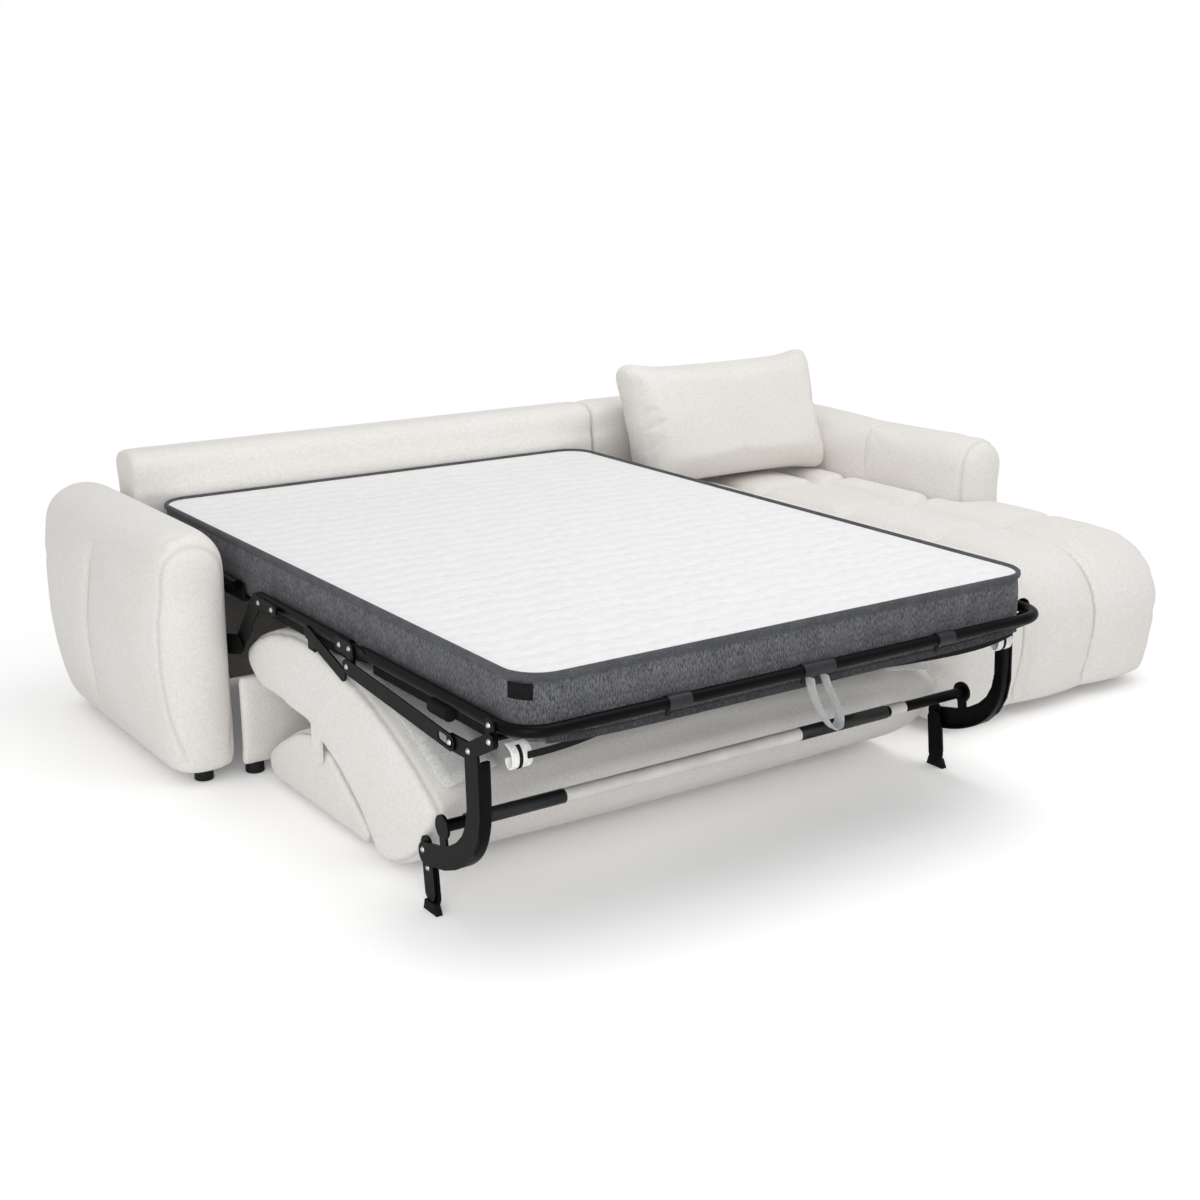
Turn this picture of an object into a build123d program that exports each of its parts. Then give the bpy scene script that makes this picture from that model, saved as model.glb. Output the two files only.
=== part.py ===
"""Corner sofa bed with its bed unfolded: chaise on the right, flip-out bed on the left.

Sizes are millimetres. Places are given across the bed (x, from the bed's centre line), forward
(f, from the rear edge of the bed's top panel) and up (z, from the floor). place_x and place_y turn
them into the model's frame: +X right, +Y to the rear, +Z up, origin on the floor under the middle.
"""
import math
import os

from build123d import *

# Mattress, in three sections that fold
mattress_width = 1400.0
mattress_length = 1900.0
mattress_height = 140.0
mattress_rear = -15.0
mattress_low = 445.0
mattress_corner = 85.0
mattress_edge = 16.0
section_gap = 0.4
head_end = 600.0
foot_start = 1235.0

# Clearances
seat_gap = 0.3
pin_gap = 0.05
plate_gap = 0.5
touch_gap = 0.1
tube_gap = 9.0
bay_gap = 20.0

# Bed frame
tube_radius = 13.0
tube_z = 485.0
tube_bend = 75.0
sleeve_wall = 2.5
tray_thickness = 6.0
tray_lip = 5.5
plate_thickness = 5.0
plate_width = 34.0
pin_radius = 6.0
tie_pin_radius = 5.0
fold_pin_radius = 8.0
back_pin_radius = 9.0
boss_radius = 9.0
tongue_thickness = 11.0
tongue_width = 24.0
tongue_end = 1285.0
tongue_pin = 12.0
hanger_thickness = 6.0
hanger_width = 36.0
clip_places = ((-355.0, 56.0), (11.0, 85.0), (385.0, 50.0))

# Guides for the head section
guide_f = 330.0
guide_width = 40.0
guide_top = 505.0
guide_round = 8.0
slider_width = 30.0
slider_height = 24.0
slider_sink = 3.0

# Fold axes (f, z)
fold_axis = (645.0, 350.0)
foot_axis = (foot_start, tube_z)
leg_axis = (1833.0, 457.0)
leg_rivet = (1824.0, tube_z)
tie_axis = (1242.0, 450.0)
crank_pin = (1688.0, 413.0)
back_axis = (1012.0, 172.0)

# Plates and brackets on those axes (f, z)
pivot_plate_rear = (560.0, 330.0)
pivot_plate_width = 50.0
bracket_elbow = (760.0, tube_z)
bracket_end = (860.0, tube_z)
bracket_bosses = (775.0, 850.0)
bracket_width = 44.0
bracket_foot_width = 30.0
hinge_plate_rear = (1180.0, tube_z)

# Lengths of the bed frame's sections
head_frame = (0.0, 590.0)
middle_tube = (730.0, 1210.0)
middle_tray = (680.0, 1185.0)
foot_tube_start = 1262.0
foot_tray = (1288.0, 1795.0)

# Sofa shell
arm_width = 200.0
arm_low = 28.0
arm_crest = 645.0
arm_front = 650.0
arm_shoulder_in = 85.0
arm_shoulder_out = 115.0
arm_shoulder_draw = 9.0
arm_toe_draw = 29.0
arm_front_end = ((0.0, 48.0), (14.0, 20.0), (48.0, 5.0), (110.0, 0.0))
arm_rear_end = ((0.0, 34.0), (14.0, 14.0), (48.0, 3.0), (110.0, 0.0))
right_arm_width = 205.0
right_arm_overlap = 155.0
right_arm_front = 815.0
right_arm_crest = 645.0
rear_side = -200.0
back_front = -20.0
back_rear = -185.0
back_top = 720.0
back_round = 45.0
seam_shift = 12.0
rail_front = 642.0
rail_thickness = 22.0
rail_top = 262.0
rail_round = 8.8
wall_thickness = 127.0
wall_top = 430.0
wall_round = 16.0

# Chaise
chaise_width = 863.0
chaise_front = 1490.0
chaise_top = 452.0
chaise_bulge_z = 235.0
chaise_toe = 28.0
chaise_toe_draw = 48.0
chaise_curve_start = 1285.0
chaise_columns = 3
chaise_rows = (310.0, 700.0, 1080.0)
chaise_side_round = ((0.0, 42.0), (20.0, 14.0))
seam_depth = 18.0
seam_shoulder = (26.0, 6.0)
groove_radius = 14.0

# Seat cushion: forward and up of its nose, lower and upper edges
seat_clear = 29.2
seat_low = 244.0
seat_nose = (617.0, 318.0)
seat_lower_edge = 704.0
seat_upper_edge = (730.0, 396.0)
seat_upper_bow = (840.0, 425.0)
seat_rear = 978.0
end_round = 60.0
seat_end_inset = 24.0

# Back cushion, folded under the seat: forward and up along its top, then the hollow in its back
cushion_low = 10.0
cushion_heel = 712.0
cushion_nose = (682.0, 60.0)
cushion_edge = (740.0, 116.0)
cushion_bow = (862.0, 180.0)
cushion_crown = (960.0, 200.0)
cushion_fall = (1040.0, 186.0)
cushion_slope = (1160.0, 106.0)
cushion_tip_top = (1227.0, 54.0)
cushion_tip = (1238.0, 34.0)
cushion_tip_low = 1226.0
cushion_end_inset = 22.0
hollow_front = (1110.0, 1085.0)
hollow_rear = (940.0, 965.0)
hollow_depth = 62.0

# Soft roll in front of the seat: forward and up of its edges
roll_start_low = 234.0
roll_under = (1178.0, 134.0)
roll_toe = (1292.0, 14.0)
roll_toe_front = (1358.0, 14.0)
roll_belly = (1500.0, 92.0)
roll_lip = (1592.0, 222.0)
roll_crest = (1320.0, 366.0)

# Feet
foot_height = 28.0
foot_radius = 24.0
foot_chamfer = 2.0
arm_foot_shift = 88.0
rail_foot_shift = 39.0
back_foot_shift = 155.0
chaise_foot_left = 202.0
chaise_foot_right = 63.0
chaise_foot_rear = 78.0

# Legs under the foot end: forward and up along each leg
leg_thickness = 6.0
leg_width = 50.0
leg_knee = (1754.0, 414.0)
leg_knee_width = 36.0
leg_line = ((1764.0, 404.0), (1769.0, 290.0), (1762.0, 248.0), (1744.0, 212.0), (1716.0, 184.0),
            (1680.0, 162.0), (1640.0, 146.0), (1564.0, 130.0))
hook_width = 26.0
hook_wall = 13.0
hook_root = (1648.0, 150.0)
leg_foot_line = ((1560.0, 145.0), (1572.0, 44.0))
leg_foot_width = 42.0
pad_base = (1548.0, 1604.0)
pad_crown = (1554.0, 1593.0)
pad_height = 23.0
pad_side = 6.0
pad_outside = 3.0
stretcher = (1640.0, 215.0)
sleeve_span = (-450.0, 205.0)
end_sleeve_length = 50.0
end_sleeve_inset = 206.0
tie_thickness = 3.5
tie_width = 36.0
slot_run = 37.0
slot_over = 4.0
slot_width = 19.0

# Loose pillow on the chaise: each layer's place and inset as shares of the thickness and height
pillow_overhang = 74.0
pillow_height = 410.0
pillow_thickness = 170.0
pillow_tilt = 19.0
pillow_from_arm = 14.0
pillow_base = (178.0, 457.7)
pillow_corner = 32.0
pillow_layer_shares = ((-0.5, 0.36), (-0.42, 0.15), (-0.2, 0.03), (0.0, 0.0), (0.2, 0.03), (0.42, 0.15),
                       (0.5, 0.36))

# Values that follow
mattress_front = mattress_rear + mattress_length
tube_x = mattress_width / 2 + tube_gap + tube_radius
tube_outer = tube_x + tube_radius
tube_inner = tube_x - tube_radius
front_tube = mattress_front + tube_gap + tube_radius
bed_front = front_tube + tube_radius + sleeve_wall
bay_half = tube_outer + bay_gap
left_side = -bay_half - arm_width
chaise_left = bay_half + wall_thickness
chaise_right = chaise_left + chaise_width
right_arm_inner = chaise_right - right_arm_overlap
right_side = right_arm_inner + right_arm_width
module_seam = bay_half + seam_shift
centre_x = (left_side + right_side) / 2
centre_f = (rear_side + bed_front) / 2
tray_low = mattress_low - tray_thickness
plate_x = tube_outer
leg_x = plate_x + plate_thickness + plate_gap
tie_x = leg_x + leg_thickness + plate_gap
pivot_plate_x = bay_half - seat_gap - plate_thickness
bracket_x = pivot_plate_x - plate_gap - plate_thickness
guide_x = bracket_x + plate_gap
seat_half = bracket_x - seat_clear
hanger_x = tube_x - hanger_thickness / 2
stretcher_reach = leg_x + leg_thickness
end_sleeve_right = stretcher_reach - end_sleeve_inset
roll_start = seat_rear + seat_gap
pillow_width = right_arm_inner - pillow_from_arm - chaise_left + pillow_overhang
pillow_x = right_arm_inner - pillow_from_arm - pillow_width / 2
foot_places = {
    "arm_front": (-bay_half - arm_foot_shift, 594.0),
    "arm_rear": (-bay_half - arm_foot_shift, -110.0),
    "rail_left": (rail_foot_shift - bay_half, 617.0),
    "rail_right": (bay_half - rail_foot_shift, 617.0),
    "back_left": (back_foot_shift - bay_half, -100.0),
    "back_right": (bay_half - back_foot_shift, -100.0),
    "chaise_front_left": (chaise_left + chaise_foot_left, 1359.0),
    "chaise_front_right": (chaise_right - chaise_foot_right, 1338.0),
    "chaise_rear_left": (chaise_left + chaise_foot_rear, 60.0),
    "chaise_rear_right": (chaise_right - chaise_foot_right, -100.0),
}
sides = {"left": -1, "right": 1}


def place_x(x):
    """Model X of a place across the bed."""
    return x - centre_x


def place_y(f):
    """Model Y of a place forward of the bed's rear edge."""
    return centre_f - f


def side_plane(x):
    """Plane seen from the right, with its own x to the rear and its own y up."""
    return Plane.YZ.offset(place_x(x))


def front_plane(f):
    """Plane seen from the front, with its own x to the right and its own y up."""
    return Plane.XZ.offset(-place_y(f))


def side_point(f, z):
    """A point of a side_plane sketch."""
    return (place_y(f), z)


def slab_start(side, near, thickness):
    """Lower x of a plate that lies from near outwards on the given side of the bed."""
    return near if side > 0 else -near - thickness


def keep(piece, name):
    """Labels a finished piece and writes it."""
    piece.part.label = name
    export_step(piece.part, f"parts/{name}.step")


def slot_between(start, end, width):
    """Adds a round-ended bar outline between two side points to the current sketch."""
    rise = end[1] - start[1]
    run = place_y(end[0]) - place_y(start[0])
    middle = side_point((start[0] + end[0]) / 2, (start[1] + end[1]) / 2)
    with Locations(middle):
        SlotCenterToCenter(math.hypot(run, rise), width, rotation=math.degrees(math.atan2(rise, run)))


def round_at(point, radius, mode=Mode.ADD):
    """Adds or cuts a round at a side point of the current sketch."""
    with Locations(side_point(*point)):
        Circle(radius, mode=mode)


def pin_along_x(point, radius, side, near, length):
    """Adds a round pin that runs outwards across the bed from near to the current part."""
    start = slab_start(side, near, length)
    middle = (place_x(start + length / 2), place_y(point[0]), point[1])
    with Locations(Location(middle, (0, 90, 0))):
        Cylinder(radius, length)


def panel_outline(f_low, f_high, z_low, z_high):
    """Upright rectangle of a side_plane sketch."""
    with BuildLine() as outline:
        Polyline(
            side_point(f_low, z_low),
            side_point(f_low, z_high),
            side_point(f_high, z_high),
            side_point(f_high, z_low),
            close=True,
        )
    return outline.line


def build_panel(name, x_low, x_high, f_range, z_range, top_round):
    """An upright panel across the bed with its two top edges rounded."""
    with BuildPart() as panel:
        with BuildSketch(side_plane(x_low)):
            add(panel_outline(*f_range, *z_range))
            face = make_face()
            fillet(face.vertices().group_by(Axis.Y)[-1], top_round)
        extrude(amount=x_high - x_low)
    keep(panel, name)


def arm_outline(inner, outer, crest, inset):
    """Arm section: flat inside, round crest, outside that swells and draws in to the floor."""
    way = math.copysign(1, outer - inner)
    inner = inner + way * inset
    outer = outer - way * inset
    shoulder_in = (place_x(inner), crest - arm_shoulder_in - inset)
    shoulder_out = (place_x(outer - way * arm_shoulder_draw), crest - arm_shoulder_out - inset)
    toe_in = (place_x(inner), arm_low)
    toe_out = (place_x(outer - way * arm_toe_draw), arm_low)
    crest_point = (place_x((inner + outer) / 2), crest - inset)
    swell_point = (place_x(outer), (crest + arm_low) / 2)
    with BuildLine() as outline:
        Line(toe_in, shoulder_in)
        ThreePointArc(shoulder_in, crest_point, shoulder_out)
        ThreePointArc(shoulder_out, swell_point, toe_out)
        Line(toe_out, toe_in)
    return outline.line


def build_arm(name, inner, outer, front, crest):
    """An upholstered arm, round at its front and rear ends."""
    stations = [(rear_side + run, inset) for run, inset in arm_rear_end]
    stations += [(front - run, inset) for run, inset in reversed(arm_front_end)]
    with BuildPart() as arm:
        for f, inset in stations:
            with BuildSketch(front_plane(f)):
                add(arm_outline(inner, outer, crest, inset))
                make_face()
        loft(ruled=True)
    keep(arm, name)


def chaise_outline(inset):
    """Chaise seen from the side: flat top that rolls over the front down to the toe."""
    top = chaise_top - inset
    front = chaise_front - inset
    rear = side_point(back_front + seat_gap, top)
    rear_low = side_point(back_front + seat_gap, chaise_toe)
    roll = side_point(chaise_curve_start, top)
    bulge = side_point(front, chaise_bulge_z)
    toe = side_point(front - chaise_toe_draw, chaise_toe)
    with BuildLine() as outline:
        Line(rear_low, rear)
        Line(rear, roll)
        over = TangentArc(roll, bulge, tangent=(-1, 0))
        TangentArc(bulge, toe, tangent=over % 1)
        Line(toe, rear_low)
    return outline.line


def build_chaise():
    """Chaise seat: tufted columns drawn in at their seams, with sewn rows across the top."""
    pitch = chaise_width / chaise_columns
    half_seam, shoulder_inset = seam_shoulder
    stations = [(chaise_left + run, inset) for run, inset in chaise_side_round]
    for column in range(chaise_columns):
        start = chaise_left + column * pitch
        stations.append((start + pitch / 2, 0))
        if column < chaise_columns - 1:
            seam = start + pitch
            stations.append((seam - half_seam, shoulder_inset))
            stations.append((seam, seam_depth))
            stations.append((seam + half_seam, shoulder_inset))
    stations += [(chaise_right - run, inset) for run, inset in reversed(chaise_side_round)]
    with BuildPart() as chaise:
        for x, inset in stations:
            with BuildSketch(side_plane(x)):
                add(chaise_outline(inset))
                make_face()
        loft(ruled=True)
        for row in chaise_rows:
            with BuildSketch(side_plane(chaise_left)):
                round_at((row, chaise_top + groove_radius / 3), groove_radius)
            extrude(amount=chaise_width, mode=Mode.SUBTRACT)
        arm_notch = right_arm_inner - seat_gap
        with BuildSketch(side_plane(arm_notch)):
            add(panel_outline(rear_side, right_arm_front + seat_gap, 0, right_arm_crest))
            make_face()
        extrude(amount=right_side - arm_notch, mode=Mode.SUBTRACT)
    keep(chaise, "chaise_seat")


def build_feet():
    """Round black feet under the sofa's corners."""
    for name, (x, f) in foot_places.items():
        with BuildPart() as foot:
            with BuildSketch(Plane.XY):
                with Locations((place_x(x), place_y(f))):
                    Circle(foot_radius)
            extrude(amount=foot_height)
            chamfer(foot.faces().sort_by(Axis.Z)[0].edges(), foot_chamfer)
        keep(foot, f"foot_{name}")


def build_mattress(name, f_low, f_high, round_front=False, round_rear=False):
    """One section of the mattress, with round corners where it ends and a soft top edge."""
    with BuildPart() as section:
        with BuildSketch(Plane.XY.offset(mattress_low)):
            with Locations((place_x(0), place_y((f_low + f_high) / 2))):
                Rectangle(mattress_width, f_high - f_low)
        extrude(amount=mattress_height)
        uprights = section.edges().filter_by(Axis.Z).group_by(Axis.Y)
        if round_front:
            fillet(uprights[0], mattress_corner)
        if round_rear:
            fillet(uprights[-1], mattress_corner)
        cuts = []
        if not round_rear:
            cuts.append(place_y(f_low))
        if not round_front:
            cuts.append(place_y(f_high))
        top = section.faces().sort_by(Axis.Z)[-1].edges()
        soft = [e for e in top if all(abs(e.center().Y - cut) > section_gap for cut in cuts)]
        fillet(soft, mattress_edge)
    keep(section, name)


def build_tray(name, f_low, f_high):
    """Bed base of one section: a flat sheet with side lips that hang on the tubes."""
    width = 2 * tube_inner
    length = f_high - f_low
    middle = (place_x(0), place_y((f_low + f_high) / 2))
    with BuildPart() as tray:
        with BuildSketch(Plane.XY.offset(tray_low)):
            with Locations(middle):
                Rectangle(width, length)
        extrude(amount=tray_thickness)
        with BuildSketch(Plane.XY.offset(mattress_low)):
            with Locations(middle):
                with GridLocations(width - tray_lip, 0, 2, 1):
                    Rectangle(tray_lip, length)
        extrude(amount=tube_z - mattress_low)
    keep(tray, name)


def build_straight_tubes(name, f_low, f_high, slider=None):
    """Side tubes of a section, one each side. A slider block guides the head section."""
    for side_name, side in sides.items():
        with BuildPart() as tube:
            with BuildSketch(front_plane(f_high)):
                with Locations((place_x(side * tube_x), tube_z)):
                    Circle(tube_radius)
            extrude(amount=f_low - f_high)
            if slider is not None:
                near = tube_outer - slider_sink
                depth = guide_x - seat_gap - near
                with BuildSketch(side_plane(slab_start(side, near, depth))):
                    with Locations(side_point(slider, tube_z)):
                        Rectangle(slider_width, slider_height)
                extrude(amount=depth)
        keep(tube, f"{name}_{side_name}")


def build_guides():
    """Upright guides on the bay's walls for the head section."""
    depth = bay_half - seat_gap - guide_x
    for side_name, side in sides.items():
        start = slab_start(side, guide_x, depth)
        f_range = (guide_f - guide_width / 2, guide_f + guide_width / 2)
        z_range = (arm_low, guide_top)
        build_panel(f"lift_guide_{side_name}", start, start + depth, f_range, z_range, guide_round)


def build_pivot_plates():
    """Plates on the bay's walls that carry the fold's main pins."""
    pin_near = bracket_x - plate_gap
    for side_name, side in sides.items():
        with BuildPart() as plate:
            with BuildSketch(side_plane(slab_start(side, pivot_plate_x, plate_thickness))):
                slot_between(pivot_plate_rear, fold_axis, pivot_plate_width)
            extrude(amount=plate_thickness)
            pin_along_x(fold_axis, fold_pin_radius, side, pin_near, pivot_plate_x + plate_gap - pin_near)
        keep(plate, f"pivot_plate_{side_name}")


def build_fold_brackets():
    """Brackets that hang from the middle section down to the fold's main pins."""
    for side_name, side in sides.items():
        with BuildPart() as bracket:
            with BuildSketch(side_plane(slab_start(side, bracket_x, plate_thickness))):
                slot_between(fold_axis, bracket_elbow, bracket_width)
                slot_between(bracket_elbow, bracket_end, bracket_foot_width)
                round_at(fold_axis, fold_pin_radius + pin_gap, Mode.SUBTRACT)
            extrude(amount=plate_thickness)
            for f in bracket_bosses:
                pin_along_x((f, tube_z), boss_radius, side, tube_outer, bracket_x + plate_gap - tube_outer)
        keep(bracket, f"fold_bracket_{side_name}")


def build_hinge_plates():
    """Plates at the middle tubes' front ends: the foot section's pin and the tie bar's pin."""
    pin_near = tube_outer - tongue_pin
    for side_name, side in sides.items():
        with BuildPart() as plate:
            with BuildSketch(side_plane(slab_start(side, plate_x, plate_thickness))):
                slot_between(hinge_plate_rear, foot_axis, plate_width)
                slot_between(foot_axis, tie_axis, plate_width)
            extrude(amount=plate_thickness)
            pin_along_x(foot_axis, pin_radius, side, pin_near, plate_x + plate_thickness - pin_near)
            pin_along_x(tie_axis, tie_pin_radius, side, plate_x, tie_x + tie_thickness - plate_x)
        keep(plate, f"hinge_plate_{side_name}")


def build_foot_frame():
    """Bent tube round the foot of the bed, with tongues at its hinge ends."""
    with BuildPart() as frame:
        with BuildLine() as path:
            FilletPolyline(
                (place_x(-tube_x), place_y(foot_tube_start), tube_z),
                (place_x(-tube_x), place_y(front_tube), tube_z),
                (place_x(tube_x), place_y(front_tube), tube_z),
                (place_x(tube_x), place_y(foot_tube_start), tube_z),
                radius=tube_bend,
            )
        with BuildSketch(Plane(origin=path.line @ 0, z_dir=path.line % 0)):
            Circle(tube_radius)
        sweep(path=path.line)
        for side in sides.values():
            near = tube_outer - plate_gap - tongue_thickness
            with BuildSketch(side_plane(slab_start(side, near, tongue_thickness))):
                slot_between(foot_axis, (tongue_end, tube_z), tongue_width)
                round_at(foot_axis, pin_radius + pin_gap, Mode.SUBTRACT)
            extrude(amount=tongue_thickness)
    keep(frame, "foot_frame")


def build_leg_plates():
    """Plates riveted to the foot tube that carry the legs' pins."""
    for side_name, side in sides.items():
        with BuildPart() as plate:
            with BuildSketch(side_plane(slab_start(side, plate_x, plate_thickness))):
                slot_between(leg_rivet, leg_axis, plate_width)
            extrude(amount=plate_thickness)
            pin_along_x(leg_axis, pin_radius, side, plate_x, leg_x + leg_thickness - plate_x)
        keep(plate, f"leg_plate_{side_name}")


def build_sleeve(name, point, x_low, x_high):
    """A thin sleeve on a cross tube."""
    with BuildPart() as sleeve:
        with BuildSketch(side_plane(x_low)):
            round_at(point, tube_radius + sleeve_wall)
            round_at(point, tube_radius, Mode.SUBTRACT)
        extrude(amount=x_high - x_low)
    keep(sleeve, name)


def build_legs():
    """J-shaped legs, each with a ring for the stretcher, a crank and a flat foot bar on a pad."""
    for side_name, side in sides.items():
        with BuildPart() as leg:
            with BuildSketch(side_plane(slab_start(side, leg_x, leg_thickness))):
                slot_between(crank_pin, leg_knee, leg_knee_width)
                slot_between(leg_knee, leg_axis, plate_width)
                for start, end in zip(leg_line, leg_line[1:]):
                    slot_between(start, end, leg_width)
                round_at(stretcher, tube_radius + hook_wall)
                slot_between(stretcher, hook_root, hook_width)
                round_at(stretcher, tube_radius, Mode.SUBTRACT)
                round_at(leg_axis, pin_radius + pin_gap, Mode.SUBTRACT)
            extrude(amount=leg_thickness)
            pin_along_x(crank_pin, tie_pin_radius, side, leg_x, tie_x + tie_thickness - leg_x)
        keep(leg, f"leg_{side_name}")
        with BuildPart() as bar:
            with BuildSketch(side_plane(slab_start(side, leg_x - leg_thickness, leg_thickness))):
                slot_between(*leg_foot_line, leg_foot_width)
            extrude(amount=leg_thickness)
        keep(bar, f"leg_foot_{side_name}")
        pad_near = leg_x - leg_thickness - pad_side
        pad_width = leg_thickness + pad_side + pad_outside
        with BuildPart() as pad:
            with BuildSketch(side_plane(slab_start(side, pad_near, pad_width))):
                with BuildLine():
                    Polyline(
                        side_point(pad_base[0], 0),
                        side_point(pad_crown[0], pad_height),
                        side_point(pad_crown[1], pad_height),
                        side_point(pad_base[1], 0),
                        close=True,
                    )
                make_face()
            extrude(amount=pad_width)
        keep(pad, f"leg_pad_{side_name}")


def build_stretcher():
    """Cross tube between the legs."""
    with BuildPart() as tube:
        with BuildSketch(side_plane(-stretcher_reach)):
            round_at(stretcher, tube_radius)
        extrude(amount=2 * stretcher_reach)
    keep(tube, "stretcher")


def build_tie_bars():
    """Flat bars from the middle section to the legs' cranks, slotted at the crank."""
    length = math.dist(tie_axis, crank_pin)
    along = [(b - a) / length for a, b in zip(tie_axis, crank_pin)]
    slot_start = tuple(c - d * slot_run for c, d in zip(crank_pin, along))
    slot_end = tuple(c + d * slot_over for c, d in zip(crank_pin, along))
    for side_name, side in sides.items():
        plane = side_plane(slab_start(side, tie_x, tie_thickness))
        with BuildPart() as tie:
            with BuildSketch(plane):
                slot_between(tie_axis, crank_pin, tie_width)
                round_at(tie_axis, tie_pin_radius + pin_gap, Mode.SUBTRACT)
                with BuildSketch(plane, mode=Mode.PRIVATE) as run:
                    slot_between(slot_start, slot_end, slot_width)
                add(run.sketch_local, mode=Mode.SUBTRACT)
            extrude(amount=tie_thickness)
        keep(tie, f"tie_bar_{side_name}")


def end_stations(half, inset):
    """Places across a cushion with the inset of its section at each, drawn in at both ends."""
    return ((-half, inset), (end_round - half, 0), (half - end_round, 0), (half, inset))


def build_seat():
    """Seat cushion, upside down under the middle section, with its round nose to the rear."""
    with BuildPart() as seat:
        for x, inset in end_stations(seat_half, seat_end_inset):
            with BuildSketch(side_plane(x)):
                low = side_point(seat_lower_edge, seat_low + inset)
                nose = side_point(seat_nose[0] + inset, seat_nose[1])
                high = side_point(seat_upper_edge[0], seat_upper_edge[1] - inset)
                bow = side_point(seat_upper_bow[0], seat_upper_bow[1] - inset)
                rear_high = side_point(seat_rear, tray_low - inset)
                rear_low = side_point(seat_rear, seat_low + inset)
                with BuildLine():
                    Line(rear_low, low)
                    ThreePointArc(low, nose, high)
                    ThreePointArc(high, bow, rear_high)
                    Line(rear_high, rear_low)
                make_face()
        loft(ruled=True)
    keep(seat, "seat_cushion")


def build_back_cushion():
    """Back cushion, a wedge folded under the seat with its top edge to the rear and its back down."""
    with BuildPart() as cushion:
        for x, inset in end_stations(seat_half, cushion_end_inset):
            with BuildSketch(side_plane(x)):
                heel = side_point(cushion_heel, cushion_low)
                nose = side_point(cushion_nose[0] + inset, cushion_nose[1])
                edge = side_point(cushion_edge[0], cushion_edge[1] - inset)
                bow = side_point(cushion_bow[0], cushion_bow[1] - inset)
                crown = side_point(cushion_crown[0], cushion_crown[1] - inset)
                fall = side_point(cushion_fall[0], cushion_fall[1] - inset)
                slope = side_point(cushion_slope[0], cushion_slope[1] - inset / 2)
                tip_top = side_point(*cushion_tip_top)
                tip_low = side_point(cushion_tip_low, cushion_low)
                with BuildLine():
                    ThreePointArc(heel, nose, edge)
                    ThreePointArc(edge, bow, crown)
                    Polyline(crown, fall, slope, tip_top)
                    ThreePointArc(tip_top, side_point(*cushion_tip), tip_low)
                    Polyline(
                        tip_low,
                        side_point(hollow_front[0], cushion_low),
                        side_point(hollow_front[1], cushion_low + hollow_depth),
                        side_point(hollow_rear[1], cushion_low + hollow_depth),
                        side_point(hollow_rear[0], cushion_low),
                        heel,
                    )
                make_face()
        loft(ruled=True)
        for side in sides.values():
            near = seat_half - end_round
            far = hanger_x + hanger_thickness + touch_gap
            pin_along_x(back_axis, back_pin_radius, side, near, far - near)
    keep(cushion, "back_cushion")


def build_back_hangers():
    """Hangers under the middle tubes that carry the back cushion's pins."""
    top = (back_axis[0], tube_z - tube_radius - hanger_width / 2 - touch_gap)
    for side_name, side in sides.items():
        with BuildPart() as hanger:
            with BuildSketch(side_plane(slab_start(side, hanger_x, hanger_thickness))):
                slot_between(back_axis, top, hanger_width)
                round_at(back_axis, back_pin_radius + pin_gap, Mode.SUBTRACT)
            extrude(amount=hanger_thickness)
        keep(hanger, f"back_hanger_{side_name}")


def build_roll():
    """Soft roll in front of the seat, which slopes down to the floor over the back cushion."""
    with BuildPart() as roll:
        with BuildSketch(side_plane(-seat_half)):
            start_low = side_point(roll_start, roll_start_low)
            start_high = side_point(roll_start, tray_low - touch_gap)
            toe = side_point(*roll_toe)
            toe_front = side_point(*roll_toe_front)
            lip = side_point(*roll_lip)
            with BuildLine():
                ThreePointArc(start_low, side_point(*roll_under), toe)
                Line(toe, toe_front)
                ThreePointArc(toe_front, side_point(*roll_belly), lip)
                ThreePointArc(lip, side_point(*roll_crest), start_high)
                Line(start_high, start_low)
            make_face()
        extrude(amount=2 * seat_half)
    keep(roll, "seat_roll")


def build_pillow():
    """Loose pillow that leans on the chaise's back."""
    tilt = math.radians(pillow_tilt)
    up = Vector(0, math.sin(tilt), math.cos(tilt))
    forward = Vector(0, -math.cos(tilt), math.sin(tilt))
    base = Vector(place_x(pillow_x), place_y(pillow_base[0]), pillow_base[1])
    middle = base + up * (pillow_height / 2)
    with BuildPart() as pillow:
        for share, inset_share in pillow_layer_shares:
            origin = middle + forward * (share * pillow_thickness)
            inset = inset_share * pillow_height
            with BuildSketch(Plane(origin=origin, x_dir=(1, 0, 0), z_dir=forward)):
                RectangleRounded(pillow_width - inset, pillow_height - inset, pillow_corner + inset / 10)
        loft(ruled=True)
    keep(pillow, "pillow")


def build_shell():
    """The sofa's still pieces."""
    build_arm("left_arm", -bay_half, left_side, arm_front, arm_crest)
    build_arm("right_arm", right_arm_inner, right_side, right_arm_front, right_arm_crest)
    back = ((back_rear, back_front), (arm_low, back_top), back_round)
    build_panel("bed_back", seat_gap - bay_half, module_seam, *back)
    build_panel("chaise_back", module_seam + seat_gap, right_arm_inner - seat_gap, *back)
    build_chaise()
    rail = ((rail_front - rail_thickness, rail_front), (foot_height, rail_top), rail_round)
    build_panel("front_rail", seat_gap - bay_half, bay_half - seat_gap, *rail)
    wall = ((back_front + seat_gap, rail_front), (arm_low, wall_top), wall_round)
    build_panel("side_panel", bay_half, chaise_left - seat_gap, *wall)
    build_feet()
    build_guides()
    build_pivot_plates()


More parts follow.
